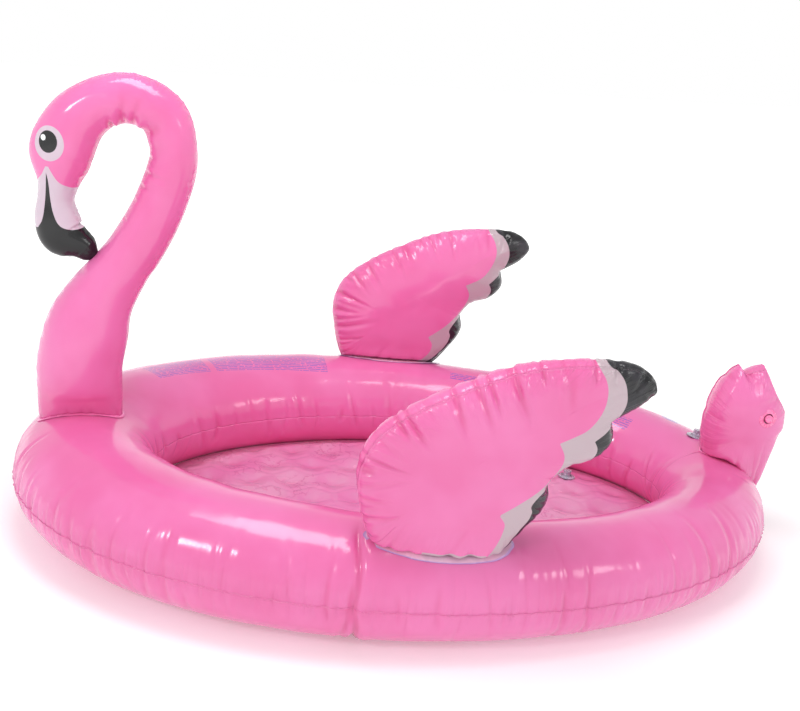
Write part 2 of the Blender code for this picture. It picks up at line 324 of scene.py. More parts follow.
def grid_film(name: str, columns: int, rows: int,
              shape: Callable[[Array, Array], Film]) -> bpy.types.Object:
    """Sheet of vinyl drawn over a grid, joined where its edges meet, with a wall thickness.

    Args:
        name: Name of the piece.
        columns: Faces along the sheet.
        rows: Faces across it.
        shape: Gives the film's values for arrays of shares along and across.

    Returns:
        The new object.
    """
    form = bmesh.new()
    bmesh.ops.create_grid(form, x_segments=columns, y_segments=rows, size=0.5)
    mesh = bpy.data.meshes.new(name)
    form.to_mesh(mesh)
    form.free()
    raw = np.empty(len(mesh.vertices) * 3, np.float32)
    mesh.vertices.foreach_get("co", raw)
    share = raw.reshape(-1, 3)[:, :2].astype(float) + 0.5
    film = shape(share[:, 0], share[:, 1])
    mesh.vertices.foreach_set("co", film.points.astype(np.float32).ravel())
    for key, values in {"seam": film.seam, **film.marks}.items():
        layer = mesh.attributes.new(key, "FLOAT", "POINT")
        layer.data.foreach_set("value", values.astype(np.float32))
    corners = np.empty(len(mesh.loops), np.int32)
    mesh.loops.foreach_get("vertex_index", corners)
    for key, values in (("sheet", film.sheet), ("flat", film.flat)):
        if values is not None:
            layer = mesh.uv_layers.new(name=key)
            layer.data.foreach_set("uv", values[corners].astype(np.float32).ravel())
    mesh.update()
    centres = np.array([face.center for face in mesh.polygons])
    normals = np.array([face.normal for face in mesh.polygons])
    first = np.empty(len(mesh.polygons), np.int32)
    mesh.polygons.foreach_get("loop_start", first)
    outward = centres - film.core[corners[first]]
    form = bmesh.new()
    form.from_mesh(mesh)
    if (np.einsum("ij,ij->i", normals, outward)).sum() < 0:
        bmesh.ops.reverse_faces(form, faces=form.faces[:])
    bmesh.ops.remove_doubles(form, verts=form.verts[:], dist=MERGE)
    bmesh.ops.dissolve_degenerate(form, edges=form.edges[:], dist=MERGE / 10)
    settle(form, mesh)
    piece = linked(name, mesh)
    thick = piece.modifiers.new("film", "SOLIDIFY")
    thick.thickness = WALL
    thick.offset = -1
    return piece


def spun(name: str, profile: Sequence[tuple[float, float]], steps: int,
         place: Matrix) -> bpy.types.Object:
    """Round moulding turned about its own axis and set in place.

    Args:
        name: Name of the piece.
        profile: Closed profile of (radius, height) points.
        steps: Faces round the axis.
        place: Where its axis and foot are.

    Returns:
        The new object.
    """
    form = bmesh.new()
    corners = [form.verts.new((radius, 0, height)) for radius, height in profile]
    edges = [form.edges.new((a, b)) for a, b in zip(corners, corners[1:] + corners[:1])]
    bmesh.ops.spin(form, geom=corners + edges, cent=(0, 0, 0), axis=(0, 0, 1), angle=2 * math.pi,
                   steps=steps, use_merge=True)
    bmesh.ops.remove_doubles(form, verts=form.verts[:], dist=MERGE / 10)
    bmesh.ops.dissolve_degenerate(form, edges=form.edges[:], dist=MERGE / 100)
    bmesh.ops.recalc_face_normals(form, faces=form.faces[:])
    bmesh.ops.transform(form, matrix=place, verts=form.verts[:])
    mesh = bpy.data.meshes.new(name)
    settle(form, mesh)
    return linked(name, mesh)


# Making materials

class Signal:
    """A number that varies over a surface, used in plain expressions."""

    def __init__(self, shader: "Shader", socket: Any) -> None:
        """Wraps a socket of a shader's node."""
        self.shader = shader
        self.socket = socket

    def step(self, operation: str, *others: Any) -> "Signal":
        """Result of one Math node on this value and others."""
        values = {index: value for index, value in enumerate((self, *others))}
        return self.shader.add("ShaderNodeMath", {"operation": operation}, values).signal()

    def __add__(self, other: Any) -> "Signal":
        """Sum."""
        return self.step("ADD", other)

    __radd__ = __add__

    def __sub__(self, other: Any) -> "Signal":
        """Difference."""
        return self.step("SUBTRACT", other)

    def __mul__(self, other: Any) -> "Signal":
        """Product."""
        return self.step("MULTIPLY", other)

    __rmul__ = __mul__

    def __truediv__(self, other: Any) -> "Signal":
        """Quotient."""
        return self.step("DIVIDE", other)

    def __pow__(self, other: Any) -> "Signal":
        """Power."""
        return self.step("POWER", other)

    def most(self, other: Any) -> "Signal":
        """Higher of the two."""
        return self.step("MAXIMUM", other)

    def size(self) -> "Signal":
        """Value without its sign."""
        return self.step("ABSOLUTE")

    def wave(self) -> "Signal":
        """Sine."""
        return self.step("SINE")

    def ramp(self, low: float, high: float, start: float = 0.0, end: float = 1.0) -> "Signal":
        """Soft change between two numbers.

        Args:
            low: Value where the change starts.
            high: Value where it ends.
            start: Result up to the low value.
            end: Result from the high value on.

        Returns:
            The changed signal.
        """
        settings = {"interpolation_type": "SMOOTHSTEP"}
        values = {"Value": self, "From Min": low, "From Max": high, "To Min": start, "To Max": end}
        return self.shader.add("ShaderNodeMapRange", settings, values).signal()


class Made:
    """A node just added, from which sockets are taken."""

    def __init__(self, shader: "Shader", node: bpy.types.Node) -> None:
        """Keeps the node and its shader."""
        self.shader = shader
        self.node = node

    def signal(self, output: Any = 0) -> Signal:
        """One output as a number."""
        return Signal(self.shader, self.node.outputs[output])

    def socket(self, output: Any = 0) -> Any:
        """One output as it is."""
        return self.node.outputs[output]


class Shader:
    """A material's node tree while it is being built."""

    def __init__(self, name: str) -> None:
        """Starts an empty material.

        Args:
            name: Name of the material.
        """
        self.material = bpy.data.materials.new(name)
        self.material.use_nodes = True
        self.tree = self.material.node_tree
        self.tree.nodes.clear()

    def add(self, kind: str, settings: dict[str, Any] | None = None,
            values: dict[Any, Any] | None = None) -> Made:
        """Adds one node.

        Args:
            kind: Type of the node.
            settings: Its properties, set first.
            values: Values or links of its inputs.

        Returns:
            The node, ready to give its outputs.
        """
        node = self.tree.nodes.new(kind)
        for key, value in (settings or {}).items():
            setattr(node, key, value)
        for key, value in (values or {}).items():
            target = node.inputs[key]
            if isinstance(value, Signal):
                self.tree.links.new(value.socket, target)
            elif isinstance(value, bpy.types.NodeSocket):
                self.tree.links.new(value, target)
            elif isinstance(value, tuple) and len(value) == 3 and target.type == "RGBA":
                target.default_value = (*value, 1.0)
            else:
                target.default_value = value
        return Made(self, node)

    def mark(self, name: str) -> Signal:
        """Value stored on the piece's points under a name."""
        return self.add("ShaderNodeAttribute", {"attribute_name": name}).signal("Fac")

    def sheet(self, name: str = "sheet") -> tuple[Signal, Signal, Any]:
        """Reads a map of the piece.

        Args:
            name: Name of the map.

        Returns:
            The map's two numbers, and its socket.
        """
        source = self.add("ShaderNodeUVMap", {"uv_map": name}).socket()
        parts = self.add("ShaderNodeSeparateXYZ", {}, {0: source})
        return parts.signal(0), parts.signal(1), source

    def grain(self, source: Any, scale: float, detail: float = 2.0,
              stretch: Colour = (1, 1, 1)) -> Signal:
        """Soft noise over a map or the piece's own coordinates.

        Args:
            source: Socket of the coordinates.
            scale: Grains to the unit.
            detail: How many finer layers are added.
            stretch: Factors on the three coordinates.

        Returns:
            Noise from about 0.2 to 0.8.
        """
        moved = self.add("ShaderNodeMapping", {}, {"Vector": source, "Scale": stretch}).socket()
        values = {"Vector": moved, "Scale": scale, "Detail": detail}
        return self.add("ShaderNodeTexNoise", {"noise_dimensions": "3D"}, values).signal("Fac")

    def place(self) -> Any:
        """The piece's own coordinates."""
        return self.add("ShaderNodeTexCoord").socket("Object")

    def mix(self, share: Any, low: Any, high: Any) -> Any:
        """Colour between two colours, by a share from 0 to 1."""
        return self.add("ShaderNodeMix", {"data_type": "RGBA"}, {0: share, 6: low, 7: high}).socket(2)

    def bump(self, height: Signal, distance: float, strength: float = 1.0, below: Any = None) -> Any:
        """Normal tilted by a height.

        Args:
            height: The height as a signal.
            distance: Metres that a height of 1 stands for.
            strength: How much of the tilt is taken.
            below: Earlier normal that it lies over.

        Returns:
            The normal's socket.
        """
        values = {"Height": height, "Distance": distance, "Strength": strength}
        if below is not None:
            values["Normal"] = below
        return self.add("ShaderNodeBump", {}, values).socket()

    def finish(self, **values: Any) -> bpy.types.Material:
        """Closes the material with a principled surface.

        Args:
            values: The surface's inputs, with spaces written as underscores.

        Returns:
            The material.
        """
        inputs = {key.replace("_", " "): value for key, value in values.items()}
        surface = self.add("ShaderNodeBsdfPrincipled", {}, inputs).socket()
        self.add("ShaderNodeOutputMaterial", {}, {"Surface": surface})
        return self.material


class Slot(Enum):
    """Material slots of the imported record."""

    PINK = "pink_vinyl"
    FLOOR = "floor_vinyl"
    FLANGE = "flange_vinyl"
    CLEAR = "clear_vinyl"
    PINK_VALVE = "pink_valve_vinyl"


@dataclass(frozen=True)
class BarBlock:
    """Rows of plain short bars on the ring, or with no pitch one oval, between two lengths each way."""

    start: float
    end: float
    low: float
    high: float
    pitch: float = 0.0070


@dataclass(frozen=True)
class VinylFinish:
    """Glossy inflated film: its colours, its haze, the fine creases at its welds and the painted shade
    in its folds and beside its welds.
    """

    name: str
    deep: Colour = (0.810, 0.138, 0.375)
    light: Colour = (0.850, 0.175, 0.440)
    weld: Colour = (0.84, 0.17, 0.42)
    # The crease pink is painted shade: it darkens folds and the groove beside each weld.
    shaded_crease: Colour = (0.72, 0.060, 0.235)
    roughness: float = 0.17
    coat: float = 0.25
    inked: bool = False
    crease_pitch: float = 0.011

    def base(self, shader: Shader) -> Any:
        """Pink of the film, a little uneven, with painted shade where it is drawn into folds and beside
        the weld, and paler along the weld itself.

        Args:
            shader: Material being built.

        Returns:
            The colour's socket.
        """
        cloud = shader.grain(shader.place(), 5.0, 3.0)
        colour = shader.mix(cloud.ramp(0.35, 0.65), self.deep, self.light)
        # Painted shade: up to 42% of the crease pink where the film is drawn into a fold.
        drawn = shader.mark("fold").ramp(0.0004, 0.0046, 0.0, 0.42)
        folded = shader.mix(drawn, colour, self.shaded_crease)
        seam = shader.mark("seam")
        # Painted shade beside the weld: up to 14% of the crease pink within a few millimetres of it.
        beside = shader.mix(seam.ramp(0.0010, 0.0060, 0.0, 1.0), self.shaded_crease, folded)
        near = shader.mix(seam.ramp(0.0030, 0.0100, 0.14, 0.0), folded, beside)
        return shader.mix(seam.ramp(0.0003, 0.0018, 0.60, 0.0), near, self.weld)

    def relief(self, shader: Shader) -> Any:
        """Fine creases that run from the weld, soft waves and the film's own grain.

        Args:
            shader: Material being built.

        Returns:
            The normal's socket.
        """
        _, _, sheet = shader.sheet()
        away = shader.mark("seam")
        fine = shader.grain(sheet, 1.0, 2.0, (1 / self.crease_pitch, 14.0, 1.0))
        thin = shader.grain(sheet, 1.0, 1.0, (2.6 / self.crease_pitch, 30.0, 1.0))
        near = away.ramp(0.0, 0.055, 1.0, 0.0)
        nearest = away.ramp(0.0, 0.025, 0.35, 0.0)
        creases = fine.ramp(0.42, 0.62) * near + thin.ramp(0.40, 0.60) * nearest
        soft = shader.bump(shader.grain(shader.place(), 9.0, 2.0), 0.006, 0.5)
        folded = shader.bump(creases, 0.0011, 0.55, soft)
        return shader.bump(shader.grain(shader.place(), 900.0, 1.0), 0.00004, 0.5, folded)

    def gloss(self, shader: Shader) -> Signal:
        """Roughness with a faint uneven haze."""
        haze = shader.grain(shader.place(), 16.0, 4.0)
        return haze.ramp(0.3, 0.7, self.roughness - 0.025, self.roughness + 0.045)

    def material(self, colour: Callable[[Shader, Any], Any] | None = None) -> bpy.types.Material:
        """Builds the material.

        Args:
            colour: Lays prints over the base colour, or None for plain film.

        Returns:
            The material.
        """
        shader = Shader(self.name)
        base = self.base(shader)
        coat = self.coat
        if self.inked:
            coat = shader.mark("black").ramp(-PRINT_BLUR, PRINT_BLUR, self.coat, 0.0)
        return shader.finish(
            Base_Color=colour(shader, base) if colour else base,
            Roughness=self.gloss(shader),
            Normal=self.relief(shader),
            IOR=1.53,
            Coat_Weight=coat,
            Coat_Roughness=0.06,
            Subsurface_Weight=0.12,
            Subsurface_Radius=(0.05, 0.012, 0.018),
            Subsurface_Scale=0.35,
        )


@dataclass(frozen=True)
class BarPrint:
    """Small blocks of plain purple bars and an oval on the ring's top."""

    blocks: tuple[BarBlock, ...]
    ink: Colour = (0.27, 0.12, 0.50)
    bars_per_metre: float = 120.0
    cover: float = 0.9

    def __call__(self, shader: Shader, base: Any) -> Any:
        """Lays the bars over the film's colour.

        Args:
            shader: Material being built.
            base: Colour below.

        Returns:
            The colour's socket.
        """
        along, across, sheet = shader.sheet()
        ink = None
        for block in self.blocks:
            if block.pitch:
                rows = (across * (2 * math.pi / block.pitch)).wave().ramp(-0.3, 0.3)
                cells = (self.bars_per_metre, 1 / block.pitch, 1.0)
                area = (along.ramp(block.start, block.start + 0.002)
                        * along.ramp(block.end - 0.002, block.end, 1.0, 0.0)
                        * across.ramp(block.low, block.low + 0.001)
                        * across.ramp(block.high - 0.001, block.high, 1.0, 0.0)
                        * rows * shader.grain(sheet, 1.0, 1.0, cells).ramp(0.36, 0.46))
            else:
                x = (along - (block.start + block.end) / 2) * (2 / (block.end - block.start))
                y = (across - (block.low + block.high) / 2) * (2 / (block.high - block.low))
                area = (x * x + y * y).ramp(0.85, 1.0, 1.0, 0.0)
            ink = area if ink is None else ink.most(area)
        return shader.mix(ink * self.cover, base, self.ink)


@dataclass(frozen=True)
class FeatherPrint:
    """White and black feather tips of a wing."""

    white: Colour = (0.53, 0.385, 0.435)
    black: Colour = (0.004, 0.004, 0.005)
    smoke: Colour = (0.030, 0.025, 0.034)

    def __call__(self, shader: Shader, base: Any) -> Any:
        """Lays the tips over the film's colour.

        Args:
            shader: Material being built.
            base: Colour below.

        Returns:
            The colour's socket.
        """
        cloud = shader.grain(shader.place(), 18.0, 2.0)
        dark = shader.mix(cloud.ramp(0.35, 0.70), self.black, self.smoke)
        pale = shader.mix(shader.mark("white").ramp(-PRINT_BLUR, PRINT_BLUR), base, self.white)
        return shader.mix(shader.mark("black").ramp(-PRINT_BLUR, PRINT_BLUR), pale, dark)


@dataclass(frozen=True)
class FacePrint:
    """Round eye and the white and black of the beak."""

    eye: tuple[float, float] = (-0.787, 0.892)
    white: Colour = (0.66, 0.50, 0.60)
    black: Colour = (0.004, 0.004, 0.005)
    glint: Colour = (0.95, 0.93, 0.95)

    def oval(self, x: Signal, z: Signal, centre: tuple[float, float],
             radii: tuple[float, float]) -> Signal:
        """Mask of a filled oval in the plane of the print.

        Args:
            x: Place forward.
            z: Place upward.
            centre: Middle of the oval.
            radii: Its half sizes.

        Returns:
            1 inside and 0 outside.
        """
        dx = (x - centre[0]) / radii[0]
        dz = (z - centre[1]) / radii[1]
        return ((dx * dx + dz * dz) ** 0.5).ramp(0.985, 1.015, 1.0, 0.0)

    def __call__(self, shader: Shader, base: Any) -> Any:
        """Lays eye and beak over the film's colour.

        Args:
            shader: Material being built.
            base: Colour below.

        Returns:
            The colour's socket.
        """
        x, z, _ = shader.sheet("flat")
        colour = shader.mix(shader.mark("white").ramp(-FACE_BLUR, FACE_BLUR), base, self.white)
        colour = shader.mix(shader.mark("black").ramp(-FACE_BLUR, FACE_BLUR), colour, self.black)
        for shift, radii, ink in (((0.0, 0.0), (0.0325, 0.0370), self.white),
                                  ((-0.002, 0.004), (0.0205, 0.0232), self.black),
                                  ((-0.0125, 0.012), (0.0056, 0.0062), self.glint)):
            centre = (self.eye[0] + shift[0], self.eye[1] + shift[1])
            colour = shader.mix(self.oval(x, z, centre, radii), colour, ink)
        return colour


@dataclass(frozen=True)
class FloorFinish:
    """Clear pale film of the padded floor, with painted shade in the creases between its pillows and
    round its welded dents.
    """

    pale: Colour = (0.94, 0.235, 0.530)
    bright: Colour = (0.95, 0.330, 0.590)
    # The darkest pink is painted shade, laid in thin creases and round the dents of the welds.
    shaded_vein: Colour = (0.84, 0.130, 0.380)

    def material(self) -> bpy.types.Material:
        """Builds the material.

        Returns:
            The finished material.
        """
        shader = Shader("padded floor film")
        place = shader.place()
        cloud = shader.grain(place, 7.0, 3.0)
        colour = shader.mix(cloud.ramp(0.35, 0.68), self.pale, self.bright)
        thin = shader.grain(place, 26.0, 3.0)
        patches = shader.grain(place, 9.0, 1.0).ramp(0.45, 0.62)
        # Painted shade: thin crease lines in patches, and the dent round each weld, go halfway to the
        # darker pink.
        shaded_vein = (thin - 0.5).size().ramp(0.0, 0.030, 1.0, 0.0) * patches
        dent = shader.mark("seam").ramp(0.003, 0.016, 0.5, 0.0)
        colour = shader.mix(shaded_vein.most(dent) * 0.5, colour, self.shaded_vein)
        soft = shader.bump(shader.grain(place, 22.0, 3.0), 0.004, 0.4)
        return shader.finish(
            Base_Color=colour,
            Roughness=cloud.ramp(0.3, 0.7, 0.16, 0.28),
            Normal=shader.bump(shaded_vein, 0.0015, 0.6, soft),
            IOR=1.52,
            Coat_Weight=0.3,
            Coat_Roughness=0.08,
            Subsurface_Weight=0.3,
            Subsurface_Radius=(0.05, 0.018, 0.026),
            Subsurface_Scale=0.4,
        )


@dataclass(frozen=True)
class FlangeFinish:
    """Milky patch welded on the ring, violet at its rim."""

    name: str
    milk: Colour = (0.80, 0.42, 0.60)
    rim: Colour = (0.25, 0.12, 0.50)
    haze: Colour = (0.86, 0.50, 0.68)
    edge: float = 0.62

    def material(self) -> bpy.types.Material:
        """Builds the material.

        Returns:
            The finished material.
        """
        shader = Shader(self.name)
        place = shader.place()
        cloud = shader.grain(place, 30.0, 3.0)
        violet = shader.mark("seam").ramp(0.0008, 0.0030, self.edge, 0.0)
        colour = shader.mix(cloud.ramp(0.35, 0.65), self.milk, self.haze)
        return shader.finish(
            Base_Color=shader.mix(violet, colour, self.rim),
            Roughness=cloud.ramp(0.3, 0.7, 0.16, 0.30),
            Normal=shader.bump(shader.grain(place, 120.0, 2.0), 0.0008, 0.5),
            Coat_Weight=0.3,
        )


@dataclass(frozen=True)
class MouldingFinish:
    """Softer thick vinyl of the valves, clear or coloured."""

    name: str
    body: Colour
    shade: Colour
    clear: float = 0.0

    def material(self) -> bpy.types.Material:
        """Builds the material.

        Returns:
            The finished material.
        """
        shader = Shader(self.name)
        place = shader.place()
        cloud = shader.grain(place, 160.0, 3.0)
        return shader.finish(
            Base_Color=shader.mix(cloud.ramp(0.35, 0.65), self.body, self.shade),
            Roughness=cloud.ramp(0.3, 0.7, 0.18, 0.34),
            Normal=shader.bump(shader.grain(place, 900.0, 2.0), 0.0002, 0.5),
            IOR=1.5,
            Transmission_Weight=self.clear,
            Coat_Weight=0.2,
        )


def dress(piece: bpy.types.Object, material: bpy.types.Material, slot: Slot, body: str,
          *nodes: str) -> None:
    """Gives a piece its material and the body it rides on, and hides the nodes it stands for.

    Args:
        piece: The piece.
        material: Its material.
        slot: Slot of the record; not used.
        body: Body it moves with, or an empty name if it is blended later.
        nodes: Nodes of the frame that it replaces.
    """
    piece.data.materials.clear()
    piece.data.materials.append(material)
    if nodes:
        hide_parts(*nodes)
    if body:
        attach(piece, body)
    LOG.info("%s: %d faces", piece.name, len(piece.data.polygons))


# The ring and its floor

@dataclass
class Ring:
    """Oval tube of the pool: two films welded along its outer and inner edges."""

    half_length: float = 0.763
    half_width: float = 0.466
    egg_x: float = 0.030
    egg_y: float = 0.017
    tube_wide: float = 0.1325
    tube_high: float = 0.122
    taper: float = 0.185
    swell: float = 0.127
    high_taper: float = 0.11
    columns: int = 960
    rows: int = 46
    crease_turns: tuple[tuple[float, float, float], ...] = ((264.1, 0.0085, 0.0060),
                                                            (292.6, 0.0018, 0.006))
    print_ends: tuple[tuple[float, ...], ...] = (
        (-0.689, 0.326, -0.487, 0.358, 0.030, 0.106), (-0.470, 0.362, -0.141, 0.400, -0.040, 0.036),
        (0.205, 0.395, 0.300, 0.405, -0.016, 0.012), (0.600, 0.230, 0.650, 0.178, -0.020, 0.020),
        (0.742, 0.214, 0.790, 0.174, -0.014, 0.014))
    crease_slant: float = 0.006
    crease_ridge: float = 0.35
    waviness: float = 0.0016
    weld_fade: float = 0.012
    lowest: float = 0.0002
    finish: VinylFinish = VinylFinish("ring film")

    def place(self, turn: Array) -> tuple[Array, Array, Array, Array]:
        """Section of the tube.

        Args:
            turn: Angles round the oval.

        Returns:
            Centre line, outward direction, half width and half height at each angle.
        """
        x = self.half_length * np.cos(turn) + self.egg_x * np.cos(2 * turn)
        y = self.half_width * np.sin(turn) + self.egg_y * np.sin(2 * turn)
        dx = -self.half_length * np.sin(turn) - 2 * self.egg_x * np.sin(2 * turn)
        dy = self.half_width * np.cos(turn) + 2 * self.egg_y * np.cos(2 * turn)
        size = np.hypot(dx, dy)
        share = x / self.half_length
        wide = self.tube_wide * (1 - self.taper * share + self.swell * (share * share - 0.5))
        high = self.tube_high * (1 - self.high_taper * share)
        centre = np.stack([x, y, np.zeros_like(x)], 1)
        outward = np.stack([dy / size, -dx / size, np.zeros_like(x)], 1)
        return centre, outward, wide, high

    def top(self, x: Array, y: Array) -> Array:
        """Height of the ring's upper face.

        Args:
            x: Places on the ground, forward.
            y: The same places, sideways.

        Returns:
            The height over each place.
        """
        turns = np.linspace(0, 2 * math.pi, 1440, endpoint=False)
        centre, _, wide, high = self.place(turns)
        result = np.zeros_like(x)
        for index, (px, py) in enumerate(zip(x, y)):
            apart = np.hypot(centre[:, 0] - px, centre[:, 1] - py)
            nearest = int(apart.argmin())
            share = min(apart[nearest] / wide[nearest], 0.985)
            result[index] = high[nearest] * (1 + math.sqrt(1 - share * share))
        return result

    def seam_lengths(self) -> tuple[Array, Array, float, float]:
        """Measures both welds.

        Returns:
            Turns, lengths along the outer and inner welds at them, and both totals.
        """
        turns = np.linspace(0, 2 * math.pi, 2001)
        centre, outward, wide, _ = self.place(turns)
        outer = measured(centre + outward * wide[:, None])
        inner = measured(centre - outward * wide[:, None])
        return turns, np.stack([outer, inner]), outer[-1], inner[-1]

    def film(self, side: int) -> Callable[[Array, Array], Film]:
        """Shape of one half of the tube.

        Args:
            side: 1 for the upper film, -1 for the lower one.

        Returns:
            The function that a grid film is drawn with.
        """
        turns, lengths, outer_total, inner_total = self.seam_lengths()
        fine = Puckers(11, outer_total, 0.015, 0.0036, 0.085, 0.0020, lean=0.12, face=side)
        broad = Puckers(31, outer_total, 0.066, 0.0070, 0.140, 0.0030, lean=0.2, face=side)
        inner = Puckers(51, inner_total, 0.048, 0.0060, 0.085, 0.0030, lean=0.3, face=side)
        ripple, zigzag = Wander(71, 128, 8), Wander(72, 256, 4)
        deepest = max(shaded_crease[1] for shaded_crease in self.crease_turns)
        fade_start, fade_reach, rough = (0.9, 0.7, 0.001) if side > 0 else (1.7, 0.6, 0.004)

        def shape(u: Array, v: Array) -> Film:
            """Film over two shares.

            Args:
                u: Share of the way round the ring.
                v: Share from the outer weld to the inner one.

            Returns:
                The film's values.
            """
            turn = 2 * math.pi * u
            lip = np.clip(2 - v * self.rows, 0, 2) / 2
            bare = np.clip((v * self.rows - 2) / (self.rows - 2), 0, 1)
            angle = math.pi * (bare - 0.62 * np.sin(2 * math.pi * bare) / (2 * math.pi))
            centre, outward, wide, high = self.place(turn)
            along = np.interp(turn, turns, lengths[0])
            along_inner = np.interp(turn, turns, lengths[1])
            mean = (wide + high) / 2
            away, away_inner = angle * mean, (math.pi - angle) * mean
            drawn = fine(along, away) + broad(along, away) + inner(along_inner, away_inner)
            for place, depth, width in self.crease_turns:
                spot = np.interp(math.radians(place), turns, lengths[0])
                offset = along - spot - self.crease_slant * np.sin(away * 26)
                fade = 1 - smooth((angle - fade_start) / fade_reach)
                ridge = self.crease_ridge * hump(offset - 0.022, 0.014)
                drawn += depth * fade * (hump(offset, width) - ridge)
                crumple = np.abs(ripple(along * 90, away * 40)) * hump(offset, 0.035)
                drawn += rough * depth / deepest * crumple * fade
            drawn += self.waviness * ripple(along * 64 / outer_total, away * 14) * np.sin(angle)
            rise = (FILM_GAP / 2 + WALL) * (1 - smooth((angle - 2.5) / 0.55))
            normal = np.cos(angle)[:, None] * outward
            normal[:, 2] = side * np.sin(angle)
            points = centre + outward * (wide * np.cos(angle))[:, None]
            points[:, 2] = high + side * (rise + (high - rise) * np.sin(angle))
            points -= normal * drawn[:, None]
            points += outward * (LIP * lip)[:, None]
            near_seam = np.exp(-away / self.weld_fade) + np.exp(-away_inner / self.weld_fade)
            wobble = zigzag(along * 256 / outer_total, 0.5 * np.ones_like(along))
            points[:, 2] += self.waviness * wobble * near_seam
            points[:, 2] = np.maximum(points[:, 2], self.lowest)
            sheet = np.stack([np.where(u > 0.9999, outer_total, along), away], 1)
            core = centre + np.array([0, 0, 1]) * high[:, None]
            return Film(points, core, sheet, away, marks={"fold": drawn})

        return shape

    def blocks(self) -> tuple[BarBlock, ...]:
        """Blocks of bars on the far top of the ring, by their ends over the ground.

        Returns:
            The blocks, the last one an oval.
        """
        turns, lengths, _, _ = self.seam_lengths()
        centre, outward, wide, high = self.place(turns)
        found = []
        half = len(turns) // 2
        for x0, y0, x1, y1, low, high_across in self.print_ends:
            spots = []
            for x, y in ((x0, y0), (x1, y1)):
                nearest = int(np.hypot(centre[:half, 0] - x, centre[:half, 1] - y).argmin())
                offset = float((np.array([x, y, 0]) - centre[nearest]) @ outward[nearest])
                angle = math.acos(max(min(offset / wide[nearest], 1), -1))
                spots.append((lengths[0][nearest], angle * (wide[nearest] + high[nearest]) / 2))
            ends = sorted(spot[0] for spot in spots)
            middle = (spots[0][1] + spots[1][1]) / 2
            found.append(BarBlock(ends[0], ends[1], middle + low, middle + high_across))
        found[-1] = replace(found[-1], pitch=0.0)
        return tuple(found)

    def build(self) -> None:
        """Makes both films and dresses them."""
        printed = self.finish.material(BarPrint(self.blocks()))
        plain = VinylFinish("ring lower film").material()
        for name, side, material in (("ring_upper", 1, printed), ("ring_lower", -1, plain)):
            piece = grid_film(name + "_film", self.columns, self.rows, self.film(side))
            dress(piece, material, Slot.PINK, BODY, name + "_skin")


@dataclass
class PaddedFloor:
    """Quilted air floor inside the ring: a pillowed top film over a flat one."""

    ring: Ring
    outer: float = 0.40
    edge: float = 0.72
    edge_height: float = 0.28
    height: float = 0.050
    pitch: float = 0.105
    dent: float = 0.012
    columns: int = 250
    rows: int = 170

    def rim(self, turn: Array, share: float) -> Array:
        """Closed line at a share of the tube's half width inside its centre line."""
        centre, outward, wide, _ = self.ring.place(turn)
        return centre - outward * (wide * share)[:, None]

    def disc(self, u: Array, v: Array) -> tuple[Array, Array]:
        """Square grid drawn to a disc.

        Args:
            u: Shares along one side.
            v: Shares along the other.

        Returns:
            Turns and shares of the radius.
        """
        a, b = 2 * u - 1, 2 * v - 1
        p, q = a * np.sqrt(1 - b * b / 2), b * np.sqrt(1 - a * a / 2)
        return np.arctan2(q, p) % (2 * math.pi), np.hypot(p, q)

    def dents(self) -> Array:
        """Places of the round welds.

        Returns:
            Their middles, in staggered rows.
        """
        spots = []
        for row in range(-5, 6):
            for column in range(-8, 9):
                spots.append(((column + 0.5 * (row % 2)) * self.pitch + self.ring.egg_x,
                              row * self.pitch * 0.866))
        return np.array(spots)

    def top(self, u: Array, v: Array) -> Film:
        """Shape of the pillowed film.

        Args:
            u: Shares along the grid.
            v: Shares across it.

        Returns:
            The film.
        """
        turn, share = self.disc(u, v)
        middle = np.array([self.ring.egg_x, 0, 0])
        edge = self.rim(turn, self.edge)
        wall = self.rim(turn, self.outer + 0.04)
        inner = np.clip(share / 0.92, 0, 1)[:, None]
        fold = np.clip((share - 0.92) / 0.08, 0, 1)[:, None]
        points = (middle + (edge - middle) * inner) * (1 - fold) + wall * fold
        _, _, _, high = self.ring.place(turn)
        low = self.edge_height * high
        x, y = points[:, 0], points[:, 1]
        apart = np.full(len(x), FAR)
        second = np.full(len(x), FAR)
        for spot in self.dents():
            gap = np.hypot(x - spot[0], y - spot[1])
            second = np.minimum(np.maximum(apart, gap), second)
            apart = np.minimum(apart, gap)
        swell = 1 - np.exp(-(np.maximum(apart - 0.005, 0) / 0.026) ** 1.3)
        ridge = hump(second - apart, 0.010) * smooth(apart / self.pitch * 2)
        wander = Wander(91, 64, 64)
        creases = np.abs(wander(x * 50, y * 50)) * 0.0012 + 0.0022 * wander(x * 14 + 9, y * 14)
        body = self.height - self.dent * (1 - swell) - 0.0020 * ridge + creases - 0.001
        rising = smooth((share - 0.80) / 0.12)
        height = body * (1 - rising) + low * rising
        height = height * (1 - fold[:, 0]) + 0.0016 * fold[:, 0]
        points[:, 2] = np.maximum(height, 0.0014)
        return Film(points, points - np.array([0, 0, 1.0]), points[:, :2].copy(), apart)

    def bottom(self, u: Array, v: Array) -> Film:
        """Shape of the flat film under the pad.

        Args:
            u: Shares along the grid.
            v: Shares across it.

        Returns:
            The film.
        """
        turn, share = self.disc(u, v)
        middle = np.array([self.ring.egg_x, 0, 0])
        points = middle + (self.rim(turn, self.outer) - middle) * share[:, None]
        points[:, 2] = 0.0001
        return Film(points, points + np.array([0, 0, 1.0]), points[:, :2].copy(), 0.05 + 0 * u)

    def build(self) -> None:
        """Makes both films and dresses them."""
        top = grid_film("floor_quilted_top", self.columns, self.rows, self.top)
        dress(top, FloorFinish().material(), Slot.FLOOR, BODY, "floor_top_sheet")
        bottom = grid_film("floor_bottom_film", 60, 40, self.bottom)
        finish = VinylFinish("floor bottom film", (0.93, 0.36, 0.55), (0.96, 0.5, 0.68))
        dress(bottom, finish.material(), Slot.FLOOR, BODY, "floor_bottom_sheet")


# The neck with its head

